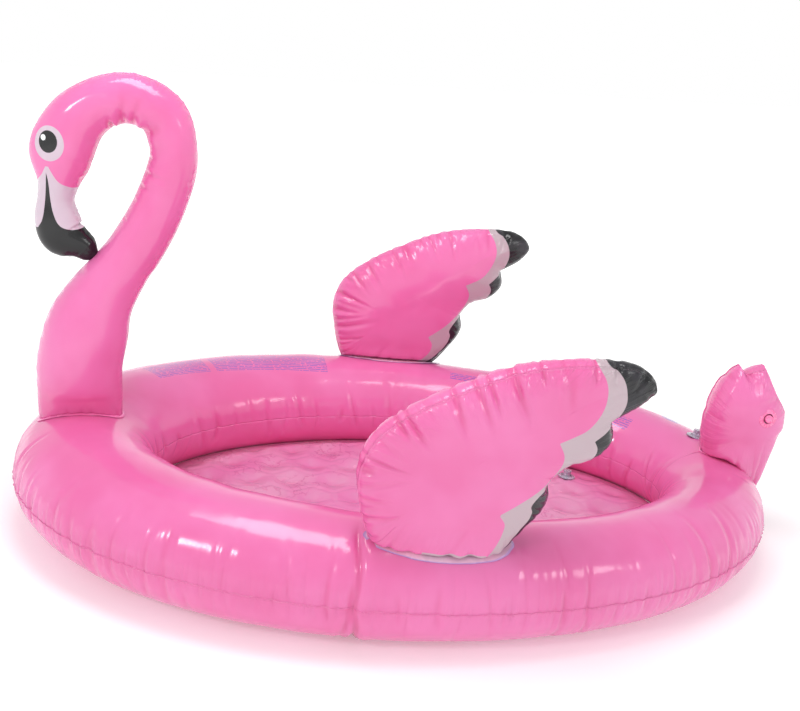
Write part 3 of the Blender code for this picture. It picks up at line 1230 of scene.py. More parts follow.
@dataclass
class Neck:
    """Curved neck, head and beak: two films welded along the front and the back."""

    ring: Ring
    stations: tuple[tuple[float, float, float, float], ...] = (
        (-0.746, 0.266, 0.0975, 0.048), (-0.746, 0.298, 0.0985, 0.060),
        (-0.746, 0.330, 0.0985, 0.078), (-0.743, 0.390, 0.0975, 0.088),
        (-0.722, 0.475, 0.0930, 0.085), (-0.691, 0.545, 0.0760, 0.070), (-0.641, 0.620, 0.0620, 0.058),
        (-0.609, 0.667, 0.0600, 0.056), (-0.568, 0.744, 0.0570, 0.053), (-0.537, 0.830, 0.0540, 0.051),
        (-0.531, 0.885, 0.0510, 0.050), (-0.545, 0.941, 0.0530, 0.050), (-0.574, 0.972, 0.0520, 0.050),
        (-0.617, 0.987, 0.0530, 0.051), (-0.658, 0.985, 0.0535, 0.052), (-0.700, 0.968, 0.0560, 0.055),
        (-0.740, 0.934, 0.0630, 0.060), (-0.770, 0.880, 0.0690, 0.060), (-0.776, 0.842, 0.0630, 0.054),
        (-0.782, 0.800, 0.0450, 0.042), (-0.788, 0.765, 0.0400, 0.036), (-0.787, 0.725, 0.0490, 0.038),
        (-0.775, 0.685, 0.0510, 0.036), (-0.7385, 0.6650, 0.0350, 0.029),
        (-0.7185, 0.6485, 0.0255, 0.021),
        (-0.7065, 0.6405, 0.0140, 0.012), (-0.7000, 0.6365, 0.0030, 0.0025))
    columns: int = 620
    rows: int = 40
    head_start: float = 15.0
    white_edge: tuple[tuple[float, float], ...] = (
        (-0.900, 0.795), (-0.836, 0.801), (-0.813, 0.818), (-0.800, 0.838), (-0.7935, 0.853),
        (-0.789, 0.838), (-0.774, 0.811), (-0.756, 0.799), (-0.739, 0.794), (-0.690, 0.792))
    black_edge: tuple[tuple[float, float], ...] = (
        (-0.900, 0.700), (-0.832, 0.702), (-0.821, 0.708), (-0.811, 0.726), (-0.805, 0.760),
        (-0.799, 0.815), (-0.796, 0.843), (-0.794, 0.815), (-0.792, 0.770), (-0.786, 0.737),
        (-0.774, 0.712), (-0.752, 0.702), (-0.730, 0.703), (-0.717, 0.708), (-0.650, 0.712))

    def film(self, side: int) -> Callable[[Array, Array], Film]:
        """Shape of one half of the neck.

        Args:
            side: -1 for the left film, 1 for the right one.

        Returns:
            The function that a grid film is drawn with.
        """
        places = np.linspace(0, len(self.stations) - 1, 3001)
        path = spline(self.stations, places)
        ahead = spline(self.stations, np.clip(places + 0.4, 0, places[-1]))
        behind = spline(self.stations, np.clip(places - 0.4, 0, places[-1]))
        tangent = ahead[:, :2] - behind[:, :2]
        tangent /= np.linalg.norm(tangent, axis=1)[:, None]
        back = path[:, :2] + np.stack([tangent[:, 1], -tangent[:, 0]], 1) * path[:, 2:3]
        front = path[:, :2] - np.stack([tangent[:, 1], -tangent[:, 0]], 1) * path[:, 2:3]
        back_run, front_run = measured(back), measured(front)
        middle_run = measured(path[:, :2])
        weight = np.where(places[1:] > self.head_start, 2.0, 1.0)
        spread = np.concatenate([[0.0], np.cumsum(np.diff(middle_run) * weight)])

        def back_at(place: float) -> float:
            """Length along the back weld at a station."""
            return float(np.interp(place, places, back_run))

        def front_at(place: float) -> float:
            """Length along the front weld at a station."""
            return float(np.interp(place, places, front_run))

        crown = Puckers(5, back_at(17.0) - back_at(8.6), 0.0240, 0.0060, 0.030, 0.0026,
                        back_at(8.6), 0.1, side, 0.006)
        nape = Puckers(6, back_at(8.6), 0.046, 0.0070, 0.050, 0.0010, face=side, ease=0.020)
        bend = Puckers(7, front_at(15.4) - front_at(10.8), 0.0220, 0.0062, 0.150, 0.0075,
                       front_at(10.8), 0.06, side, 0.028)
        throat = Puckers(8, front_at(10.8) - front_at(7.2), 0.040, 0.0046, 0.090, 0.0030,
                         front_at(7.2), 0.15, side, 0.022)
        breast = Puckers(9, front_at(7.2), 0.036, 0.0075, 0.040, 0.0018, face=side, ease=0.018)
        beak = Puckers(12, back_run[-1] - back_at(18.0), 0.020, 0.0040, 0.020, 0.0010,
                       back_at(18.0), face=side, ease=0.010)
        chin = Puckers(14, front_run[-1] - front_at(17.0), 0.018, 0.0040, 0.030, 0.0018,
                       front_at(17.0), face=side, ease=0.010)
        foot = Puckers(16, 0.40, 0.034, 0.0070, 0.040, 0.0028, lean=0.6, face=side)
        soft = Wander(81 + side, 64, 32)

        def shape(u: Array, v: Array) -> Film:
            """Film over two shares.

            Args:
                u: Share of the way along the neck.
                v: Share from the back weld to the front one.

            Returns:
                The film's values.
            """
            spot = np.interp(u * spread[-1], spread, places)
            section = np.stack([np.interp(spot, places, path[:, k]) for k in range(4)], 1)
            ahead_x = np.interp(spot, places, tangent[:, 0])
            ahead_z = np.interp(spot, places, tangent[:, 1])
            lip = np.clip(1 - v * self.rows, 0, 1) - np.clip(1 - (1 - v) * self.rows, 0, 1)
            bare = np.clip((v * self.rows - 1) / (self.rows - 2), 0, 1)
            angle = math.pi * (bare - 0.45 * np.sin(2 * math.pi * bare) / (2 * math.pi))
            wide, deep = section[:, 2], section[:, 3]
            mean = (wide + deep) / 2
            along_back = np.interp(spot, places, back_run)
            along_front = np.interp(spot, places, front_run)
            away_back, away_front = angle * mean, (math.pi - angle) * mean
            drawn = (crown(along_back, away_back) + nape(along_back, away_back)
                     + beak(along_back, away_back) + bend(along_front, away_front)
                     + throat(along_front, away_front)
                     + breast(along_front, away_front) + chin(along_front, away_front))
            height = np.interp(spot, places, middle_run)
            drawn += foot(angle * 0.125, height)
            drawn += 0.0012 * soft(along_back * 14, angle * 3) * np.sin(angle)
            drawn = np.minimum(drawn, mean * 0.4)
            reach = wide * np.cos(angle)
            points = np.zeros((len(u), 3))
            points[:, 0] = section[:, 0] + ahead_z * reach
            points[:, 2] = section[:, 1] - ahead_x * reach
            points[:, 1] = side * deep * np.sin(angle)
            normal = np.stack([ahead_z * np.cos(angle), side * np.sin(angle),
                               -ahead_x * np.cos(angle)], 1)
            points -= normal * drawn[:, None]
            points[:, 1] = side * np.maximum(side * points[:, 1], 0) + side * (FILM_GAP / 2 + WALL)
            tip = np.clip((places[-1] - spot) / 0.8, 0, 1)
            points[:, 0] += ahead_z * 0.3 * LIP * lip * tip
            points[:, 2] -= ahead_x * 0.3 * LIP * lip * tip
            low = height < 0.07
            fall = 1 - smooth(height[low] / 0.07)
            ground = self.ring.top(points[low, 0], points[low, 1]) + 0.0015
            points[low, 2] += (ground - 0.266) * fall
            seam = np.minimum(away_back, away_front)
            flat = points[:, [0, 2]].copy()
            head = spot > self.head_start
            closing = ((-0.60, 0.50), (-1.0, 0.50))
            marks = {"fold": drawn}
            for key, line in (("white", self.white_edge), ("black", self.black_edge)):
                marks[key] = np.full(len(u), -0.05)
                marks[key][head] = print_edge(flat[head], eased(line), closing)
            core = np.stack([section[:, 0], np.zeros(len(u)), section[:, 1]], 1)
            sheet = np.stack([along_back, away_back], 1)
            return Film(points, core, sheet, seam, flat, marks)

        return shape

    def build(self) -> None:
        """Makes both films and dresses them."""
        material = VinylFinish("neck film", inked=True).material(FacePrint())
        for name, side in (("neck_left", -1), ("neck_right", 1)):
            piece = grid_film(name + "_film", self.columns, self.rows, self.film(side))
            dress(piece, material, Slot.PINK, "", name + "_skin")
            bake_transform(piece)


# Wings and tail

@dataclass
class Pouch:
    """Flat inflated bag between two films with the same outline, such as a wing or the tail."""

    name: str
    outline: Array
    middle: tuple[float, float]
    plane: float
    half_depth: float
    fullness: float = 0.42
    seam_shift: float = 0.0
    roll: float = 0.0
    roll_side: int = 1
    roll_end: float = 0.78
    twist_at: float = -1.0
    foot_band: tuple[float, float] | None = None
    spread: float = 0.0
    foot_height: float = 0.0
    foot_middle: float = 0.0
    foot_half: float = 0.1
    ground: Callable[[Array, Array], Array] | None = None
    columns: int = 560
    rows: int = 54
    cell: float = 0.004
    edge: float = 0.010
    rounds: int = 500
    crowding: float = 1.55
    lean_height: float = 0.20
    settle_height: float = 0.060
    settle_fade: float = 0.050
    clearance: float = 0.002
    waviness: float = 0.0014
    ripple: float = 0.0010
    weld_fade: float = 0.006
    deepest: float = 0.55
    tuck: float = 0.12

    def __post_init__(self) -> None:
        """Works out how thick the bag is over its plane, as a film under even pressure would be."""
        self.line = np.vstack([self.outline, self.outline[:1]])
        self.runs = measured(self.line)
        self.low = self.outline.min(0) - 3 * self.cell
        size = np.ceil((self.outline.max(0) + 3 * self.cell - self.low) / self.cell).astype(int) + 1
        field_now = np.zeros((4, 4))
        for factor in (8, 4, 2, 1):
            cell = self.cell * factor
            count = np.maximum((size * self.cell / cell).astype(int) + 2, 4)
            xs = self.low[0] + np.arange(count[0]) * cell
            zs = self.low[1] + np.arange(count[1]) * cell
            grid_x, grid_z = np.meshgrid(xs, zs, indexing="ij")
            hit = inside(np.stack([grid_x.ravel(), grid_z.ravel()], 1), self.outline)
            hit = hit.reshape(grid_x.shape)
            if factor == 8:
                values = np.zeros(grid_x.shape)
            else:
                values = self.sampled(field_now, self.low, cell * 2, grid_x.ravel(), grid_z.ravel())
                values = values.reshape(grid_x.shape)
            values[~hit] = 0
            for _ in range(self.rounds):
                around = np.zeros_like(values)
                around[1:-1, 1:-1] = (values[2:, 1:-1] + values[:-2, 1:-1] + values[1:-1, 2:]
                                      + values[1:-1, :-2] + cell * cell) / 4
                values = np.where(hit, around, 0)
            field_now = values
        self.swell = field_now / field_now.max()

    @staticmethod
    def sampled(table: Array, low: Array, cell: float, x: Array, z: Array) -> Array:
        """Value of a table of cells at each place, between its cells.

        Args:
            table: Values at the corners of the cells.
            low: Place of the table's first corner.
            cell: Size of a cell.
            x: Places along the table's first axis.
            z: Places along its second axis.

        Returns:
            The values.
        """
        column = np.clip((x - low[0]) / cell, 0, table.shape[0] - 1.001)
        row = np.clip((z - low[1]) / cell, 0, table.shape[1] - 1.001)
        i, j = column.astype(int), row.astype(int)
        fx, fz = column - i, row - j
        return ((table[i, j] * (1 - fx) + table[i + 1, j] * fx) * (1 - fz)
                + (table[i, j + 1] * (1 - fx) + table[i + 1, j + 1] * fx) * fz)

    def lift(self, rim: Array) -> Array:
        """How far each point of the weld shares in the weld's own sideways lean, from 0 to 1."""
        return smooth((rim[:, 1] - self.foot_height) / self.lean_height)

    def stand(self, points: Array, away: Array, side: int) -> None:
        """Opens the foot out and sets it on the surface below.

        Args:
            points: Points of the film, moved in place.
            away: Distance of each from the weld.
            side: Which way the film faces.
        """
        if self.ground is None:
            return
        over = points[:, 2] - self.foot_height
        low = over < self.settle_height
        place = np.clip((points[low, 0] - self.foot_middle) / self.foot_half, -1, 1)
        fade = (1 - smooth(over[low] / self.settle_height)) * hump(away[low], 0.045)
        points[low, 1] += side * self.spread * np.sqrt(1 - place * place) * fade
        drop = self.ground(points[low, 0], points[low, 1]) + self.clearance - self.foot_height
        points[low, 2] += drop * (1 - smooth(over[low] / self.settle_fade))

    def film(self, side: int, puckers: Sequence[Puckers],
             prints: dict[str, tuple[Any, Any]]) -> Callable[[Array, Array], Film]:
        """Shape of one face of the bag.

        Args:
            side: Which way it faces along Y, -1 or 1.
            puckers: Folds along the weld.
            prints: Edge and closing points of each printed area.

        Returns:
            The function that a grid film is drawn with.
        """
        soft = Wander(61 + side, 64, 64)
        ripples = Wander(65, 64, 64)
        middle = np.array(self.middle)

        def shape(u: Array, v: Array) -> Film:
            """Film over two shares.

            Args:
                u: Share of the way round the outline.
                v: Share from its middle to its weld.

            Returns:
                The film's values.
            """
            run = u * self.runs[-1]
            rim = np.stack([np.interp(run, self.runs, self.line[:, k]) for k in (0, 1)], 1)
            step = 0.004
            after = np.stack([np.interp((run + step) % self.runs[-1], self.runs, self.line[:, k])
                              for k in (0, 1)], 1)
            before = np.stack([np.interp((run - step) % self.runs[-1], self.runs, self.line[:, k])
                               for k in (0, 1)], 1)
            tangent = after - before
            tangent /= np.maximum(np.linalg.norm(tangent, axis=1), 1e-9)[:, None]
            out = np.stack([tangent[:, 1], -tangent[:, 0]], 1)
            out *= np.where(np.einsum("ij,ij->i", out, rim - middle) > 0, 1, -1)[:, None]
            lip = np.clip(v * self.rows - (self.rows - 2), 0, 2) / 2
            bare = np.clip(v * self.rows / (self.rows - 2), 0, 1)
            share = 1 - (1 - bare) ** self.crowding
            flat = middle + (rim - middle) * share[:, None]
            away, along = line_distance(flat, self.line)
            facing = np.full(len(u), float(side))
            turned = self.roll * self.lift(rim) * (1 - smooth((run - self.roll_end) / 0.08))
            if self.twist_at > 0:
                turned *= np.tanh((run - self.twist_at) / 0.05)
            begin = turned * (1 if side == self.roll_side else -1)
            bend = np.arccos(np.clip(1 - away / self.half_depth, 0, 1))
            bend = begin + bend * (1 - begin / (math.pi / 2))
            rolled = np.where(away < self.half_depth, self.half_depth * (1 - np.cos(bend)), away)
            length = np.linalg.norm(rim - middle, axis=1)
            slant = np.einsum("ij,ij->i", out, rim - middle) / length
            share = share - (rolled - away) / np.maximum(slant, 0.35) / length
            share = np.clip(share, 0, 1)
            flat = middle + (rim - middle) * share[:, None]
            away, along = line_distance(flat, self.line)
            facing[bend < 0] *= -1
            seam_depth = self.half_depth * (1 - np.cos(turned))
            arc = np.maximum(np.where(begin > 0, away - seam_depth,
                                      np.where(bend < 0, seam_depth - away, seam_depth + away)), 0)
            arc[lip > 0] = 0
            fill = np.clip(self.sampled(self.swell, self.low, self.cell, flat[:, 0], flat[:, 1]), 0, 1)
            steady = np.clip(away / self.edge, 0, 1)
            probe = flat - out * np.maximum(self.edge - away, 0)[:, None]
            edge_fill = self.sampled(self.swell, self.low, self.cell, probe[:, 0], probe[:, 1])
            edge_fill = np.clip(edge_fill, 0, 1)
            depth = np.where(away < self.edge, edge_fill ** self.fullness * np.sqrt(steady),
                             fill ** self.fullness)
            depth = self.half_depth * depth
            drawn = sum(fold(along, arc) for fold in puckers)
            drawn += self.waviness * soft(flat[:, 0] * 22, flat[:, 1] * 22) * smooth(arc / 0.03)
            depth = np.maximum(depth - np.minimum(drawn, self.deepest * depth), 0)
            depth[(bare >= 1) & (np.abs(turned) < MERGE)] = 0
            tucked = sum(fold(run, 0 * run) for fold in puckers)
            flat = flat - out * (self.tuck * tucked * smooth((share - 0.75) / 0.25))[:, None]
            flat = flat + out * (LIP * lip)[:, None]
            points = np.zeros((len(u), 3))
            points[:, 0], points[:, 2] = flat[:, 0], flat[:, 1]
            points[:, 1] = self.plane + facing * depth + side * (FILM_GAP / 2 + WALL)
            ripple = self.ripple * ripples(along * 45, 0.5 + 0 * along)
            ripple *= np.exp(-arc / self.weld_fade)
            points[:, 1] += ripple + self.seam_shift * self.lift(rim) * hump(away, 0.075)
            self.stand(points, away, side)
            core = np.stack([flat[:, 0], np.full(len(u), self.plane - side), flat[:, 1]], 1)
            marks = {key: print_edge(flat, line, closing) for key, (line, closing) in prints.items()}
            marks["fold"] = drawn
            if self.foot_band and side == self.roll_side:
                low, high = self.foot_band
                over = flat[:, 1] - self.foot_height
                for key, more in (("white", 0.008), ("black", 0.0)):
                    band = np.minimum(flat[:, 0] - low + more, high + more - flat[:, 0])
                    band = np.minimum(band, 0.009 + 0.6 * more - over)
                    marks[key] = np.maximum(marks[key], band)
            sheet = np.stack([run, arc], 1)
            return Film(points, core, sheet, arc, flat, marks)

        return shape


def outline_of(lines: Sequence[Sequence[Sequence[float]]], weld: Sequence[Sequence[float]],
               step: float = 0.004) -> Array:
    """Even closed outline from smooth lines that meet at corners, and the weld at the foot.

    Args:
        lines: Smooth lines, each ending where the next one starts.
        weld: Points along the foot, back to the start.
        step: Distance between points of the outline.

    Returns:
        Points of the outline, one per row.
    """
    parts = []
    for line in lines:
        curve = spline(line, np.linspace(0, len(line) - 1, 60 * len(line)))
        runs = measured(curve)
        count = max(int(runs[-1] / step), 2)
        places = np.linspace(0, runs[-1], count, endpoint=False)
        parts.append(np.stack([np.interp(places, runs, curve[:, k]) for k in (0, 1)], 1))
    foot = np.array(weld, float)
    runs = measured(foot)
    places = np.linspace(0, runs[-1], max(int(runs[-1] / step), 2), endpoint=False)
    parts.append(np.stack([np.interp(places, runs, foot[:, k]) for k in (0, 1)], 1))
    return np.vstack(parts)


@dataclass
class Wing:
    """Upright scalloped wing welded on the side of the ring."""

    name: str
    side: int
    ring: Ring
    plane: float = 0.508
    foot: float = 0.240
    half_depth: float = 0.060
    leading: tuple[tuple[float, float], ...] = (
        (-0.095, 0.000), (-0.115, 0.060), (-0.130, 0.150), (-0.105, 0.224), (-0.038, 0.282),
        (0.052, 0.330), (0.156, 0.372), (0.265, 0.388), (0.365, 0.383), (0.411, 0.345),
        (0.390, 0.307), (0.336, 0.272))
    middle_lobe: tuple[tuple[float, float], ...] = (
        (0.336, 0.272), (0.343, 0.228), (0.312, 0.192), (0.262, 0.174), (0.233, 0.138))
    rear_lobe: tuple[tuple[float, float], ...] = ((0.233, 0.138), (0.240, 0.096), (0.215, 0.050),
                                                  (0.165, 0.000))
    white_edge: tuple[tuple[float, float], ...] = (
        (0.280, 0.440), (0.290, 0.388), (0.305, 0.362), (0.312, 0.336), (0.309, 0.308), (0.296, 0.280),
        (0.276, 0.258), (0.234, 0.238), (0.247, 0.212), (0.246, 0.187), (0.230, 0.154), (0.202, 0.127),
        (0.170, 0.102), (0.142, 0.083), (0.156, 0.060), (0.153, 0.036), (0.138, 0.016), (0.118, -0.002),
        (0.110, -0.040))
    black_edge: tuple[tuple[float, float], ...] = (
        (0.300, 0.440), (0.309, 0.390), (0.330, 0.374), (0.345, 0.350), (0.351, 0.320), (0.345, 0.292),
        (0.332, 0.268), (0.302, 0.240), (0.311, 0.222), (0.308, 0.202), (0.290, 0.178), (0.256, 0.152),
        (0.222, 0.130), (0.203, 0.102), (0.207, 0.084), (0.202, 0.062), (0.188, 0.040), (0.168, 0.018),
        (0.150, -0.002), (0.145, -0.040))

    def build(self, material: bpy.types.Material) -> None:
        """Makes both films of the wing and dresses them.

        Args:
            material: Look of the films.
        """
        shift = np.array([0, self.foot])
        lines = [[(x, z + self.foot) for x, z in line]
                 for line in (self.leading, self.middle_lobe, self.rear_lobe)]
        outline = outline_of(lines, ((0.165, self.foot), (-0.095, self.foot)))
        plane = self.side * self.plane
        bag = Pouch(self.name, outline, (0.10, 0.20 + self.foot), plane, self.half_depth,
                    seam_shift=self.side * 0.010, roll=0.55, roll_side=self.side,
                    foot_band=(0.012, 0.122), spread=0.014, foot_height=self.foot,
                    foot_middle=0.035, foot_half=0.130, ground=self.ring.top)
        total = float(bag.runs[-1])
        closing = ((0.60, -0.10 + self.foot), (0.60, 0.60 + self.foot))
        prints = {key: (eased([(x, z + self.foot) for x, z in line]), closing)
                  for key, line in (("white", self.white_edge), ("black", self.black_edge))}
        for index, (half, facing) in enumerate((("outer", self.side), ("inner", -self.side))):
            seed = 100 + (5 if self.side > 0 else 0)
            folds = [
                Puckers(seed, 0.66, 0.0400, 0.0062, 0.075, 0.0056, 0.14, 0.12, index),
                Puckers(seed + 1, total - 1.06, 0.024, 0.0045, 0.024, 0.0022, 0.80, face=index),
                Puckers(seed + 2, 0.14, 0.022, 0.0060, 0.100, 0.0046, 0.0, 0.25, index),
                Puckers(seed + 3, 0.26, 0.050, 0.0080, 0.060, 0.0026, total - 0.26, 0.8, index),
                Puckers(seed + 4, 0.60, 0.110, 0.0080, 0.110, 0.0050, 0.14, 0.2, index),
            ]
            piece = grid_film("%s_%s_film" % (self.name, half), bag.columns, bag.rows,
                              bag.film(facing, folds, prints))
            dress(piece, material, Slot.PINK, "", "%s_%s_skin" % (self.name, half))
            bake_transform(piece)
        LOG.info("%s stands %.3f m over its foot", self.name, float(outline[:, 1].max() - shift[1]))


@dataclass
class Tail:
    """Two-tipped tail welded across the back of the ring."""

    ring: Ring
    half_depth: float = 0.064
    front: tuple[tuple[float, float], ...] = ((0.773, 0.224), (0.764, 0.270), (0.767, 0.330),
                                              (0.788, 0.400), (0.821, 0.446))
    cleft: tuple[tuple[float, float], ...] = ((0.821, 0.446), (0.840, 0.424), (0.851, 0.436),
                                              (0.879, 0.451))
    rear: tuple[tuple[float, float], ...] = ((0.879, 0.451), (0.912, 0.395), (0.947, 0.335),
                                             (0.943, 0.270), (0.892, 0.186))

    def build(self) -> None:
        """Makes both films of the tail and dresses them."""
        x = np.linspace(0.892, 0.773, 16)
        foot = np.stack([x, self.ring.top(x, 0 * x) + 0.004], 1)
        foot[0], foot[-1] = self.rear[-1], self.front[0]
        outline = outline_of((self.front, self.cleft, self.rear), foot)
        bag = Pouch("tail", outline, (0.855, 0.300), 0.0, self.half_depth, 0.36, roll=0.62,
                    roll_side=-1, roll_end=9.0, twist_at=0.26, spread=0.030,
                    foot_height=0.222, foot_middle=0.832, foot_half=0.062, ground=self.ring.top,
                    columns=420, rows=48)
        total = float(bag.runs[-1])
        material = VinylFinish("tail film").material()
        for half, side in (("left", -1), ("right", 1)):
            folds = [
                Puckers(200, total * 0.78, 0.034, 0.0050, 0.030, 0.0012, face=side),
                Puckers(210, total * 0.78, 0.075, 0.0085, 0.060, 0.0034, lean=0.4, face=side),
                Puckers(220, 0.15, 0.034, 0.0055, 0.040, 0.0028, total - 0.15, 0.5, side),
            ]
            piece = grid_film("tail_%s_film" % half, bag.columns, bag.rows, bag.film(side, folds, {}))
            dress(piece, material, Slot.PINK, "", "tail_%s_skin" % half)
            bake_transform(piece)


@dataclass
class Foot:
    """Oval patch that a neck, wing or tail stands on, lying on the ring."""

    ring: Ring
    node: str
    centre: tuple[float, float]
    half: tuple[float, float]
    finish: FlangeFinish
    seed: int = 1

    def film(self, u: Array, v: Array) -> Film:
        """Shape of the patch.

        Args:
            u: Shares round it.
            v: Shares from its middle to its rim.

        Returns:
            The film.
        """
        turn = 2 * math.pi * u
        draw = Wander(self.seed, 24, 4)
        wave = 1 + 0.030 * draw(u * 24, 0.5 + 0 * u) * v
        x = self.centre[0] + self.half[0] * np.cos(turn) * (0.45 + 0.55 * v) * wave
        y = self.centre[1] + self.half[1] * np.sin(turn) * (0.45 + 0.55 * v) * wave
        curl = 0.0020 * np.abs(draw(u * 24 + 3, 1.5 + 0 * u)) * v ** 2
        points = np.stack([x, y, self.ring.top(x, y) + 0.0016 + curl], 1)
        seam = (1 - v) * 0.55 * min(self.half)
        return Film(points, points - np.array([0, 0, 1.0]), points[:, :2].copy(), seam)

    def build(self) -> None:
        """Makes the patch and dresses it."""
        piece = grid_film(self.node.replace("_flange", "_patch"), 120, 10, self.film)
        dress(piece, self.finish.material(), Slot.FLANGE, BODY, self.node)


# Valves

@dataclass
class Valve:
    """Push-in valve: welded collar, stem with its bore, plug on a tab, and check flap."""

    name: str
    holder: str
    finish: MouldingFinish
    slot: Slot
    films: tuple[str, ...] = ()
    sunk: float = 0.0
    steps: int = 64
    opening: float = 0.0178

    def frames(self) -> tuple[Matrix, Matrix, Matrix, Matrix]:
        """Places of the valve's pieces, from the frame's joints.

        Returns:
            Places of collar, stem, plug and flap.
        """
        joints = {joint["name"]: joint for joint in frame["record"]["behaviour"]["joints"]}
        up = Vector(joints[self.name + "_recess"]["axis"]).normalized()
        hinge = joints[self.name + "_plug_hinge"]
        across = Vector(hinge["axis"]).normalized()
        side = across.cross(up).normalized()
        turned = Matrix((side, across, up)).transposed().to_4x4()
        foot = Vector(hinge["pos_m"]) - side * 0.0115 - up * 0.01515
        stem, collar, plug, flap = (turned.copy() for _ in range(4))
        stem.translation = foot
        collar.translation = foot + up * self.sunk
        plug.translation = Vector(hinge["pos_m"])
        flap.translation = foot - up * 0.0002
        return collar, stem, plug, flap

    def tab(self, piece: bpy.types.Object, place: Matrix, near: float, far: float, low: float,
            high: float) -> None:
        """Adds a small rounded tab on the side where the plug is hinged.

        Args:
            piece: Piece that gets the tab.
            place: Where the tab is set.
            near: Its end nearest to the middle.
            far: Its other end.
            low: Its underside.
            high: Its top.
        """
        form = bmesh.new()
        form.from_mesh(piece.data)
        box = bmesh.ops.create_cube(form, size=1.0)["verts"]
        edges = list({edge for vert in box for edge in vert.link_edges})
        bmesh.ops.scale(form, vec=(far - near, 0.0044, high - low), verts=box)
        bmesh.ops.translate(form, vec=((near + far) / 2, 0, (low + high) / 2), verts=box)
        bmesh.ops.transform(form, matrix=place, verts=box)
        bmesh.ops.bevel(form, geom=edges, offset=0.0005, segments=2, profile=0.5, affect="EDGES",
                        material=-1)
        form.to_mesh(piece.data)
        form.free()

    def pierce(self, piece: bpy.types.Object, place: Matrix) -> None:
        """Opens a film under the collar, so that the stem can slide through it.

        Args:
            piece: Film that the collar is welded on.
            place: Frame of the collar.
        """
        back = place.inverted()
        form = bmesh.new()
        form.from_mesh(piece.data)
        hit = []
        for face in form.faces:
            spot = back @ face.calc_center_median()
            if abs(spot.z) < 0.030 and math.hypot(spot.x, spot.y) < self.opening:
                hit.append(face)
        bmesh.ops.delete(form, geom=hit, context="FACES")
        form.to_mesh(piece.data)
        form.free()
        LOG.info("%s opens %d faces of %s", self.name, len(hit), piece.name)

    def build(self) -> None:
        """Makes the four mouldings and dresses them."""
        collar_at, stem_at, plug_at, flap_at = self.frames()
        for film in self.films:
            self.pierce(bpy.data.objects[film], collar_at)
        material = self.finish.material()
        collar = spun(self.name + "_ring", (
            (0.0124, 0.0001), (0.0222, 0.0001), (0.0226, 0.0005), (0.0222, 0.0010), (0.0165, 0.0013),
            (0.0148, 0.0016), (0.0141, 0.0028), (0.0135, 0.0031), (0.0128, 0.0030), (0.0124, 0.0026)),
            self.steps, collar_at)
        dress(collar, material, self.slot, self.holder, self.name + "_collar")
        stem = spun(self.name + "_spout", (
            (0.0050, 0.0005), (0.0118, 0.0005), (0.0120, 0.0009), (0.0118, 0.0014), (0.0098, 0.0016),
            (0.0094, 0.0022), (0.0093, 0.0124), (0.0096, 0.0130), (0.0096, 0.0146), (0.0092, 0.0150),
            (0.0055, 0.0150), (0.0050, 0.0146)), self.steps, stem_at)
        self.tab(stem, stem_at, 0.0088, 0.0112, 0.0131, 0.0149)
        dress(stem, material, self.slot, self.name + "_stem", self.name + "_stem")
        away = Matrix.Translation((-0.0115, 0, -0.00015))
        plug = spun(self.name + "_stopper", (
            (0.0, -0.0069), (0.0030, -0.0069), (0.0034, -0.0064), (0.0046, -0.0005), (0.0047, 0.0003),
            (0.0092, 0.0003), (0.0095, 0.0006), (0.0095, 0.0021), (0.0091, 0.0025), (0.0078, 0.0030),
            (0.0050, 0.0029), (0.0030, 0.0026), (0.0, 0.0025)), self.steps, plug_at @ away)
        self.tab(plug, plug_at @ away, 0.0088, 0.0112, 0.0006, 0.0022)
        dress(plug, material, self.slot, self.name + "_plug", self.name + "_plug")
        flap = spun(self.name + "_film_flap", (
            (0.0, -0.0006), (0.0056, -0.0006), (0.0059, -0.0004), (0.0056, -0.0001), (0.0, -0.0001)),
            self.steps, flap_at)
        dress(flap, material, self.slot, self.name + "_check_flap", self.name + "_check_flap")


# Light, floor and camera

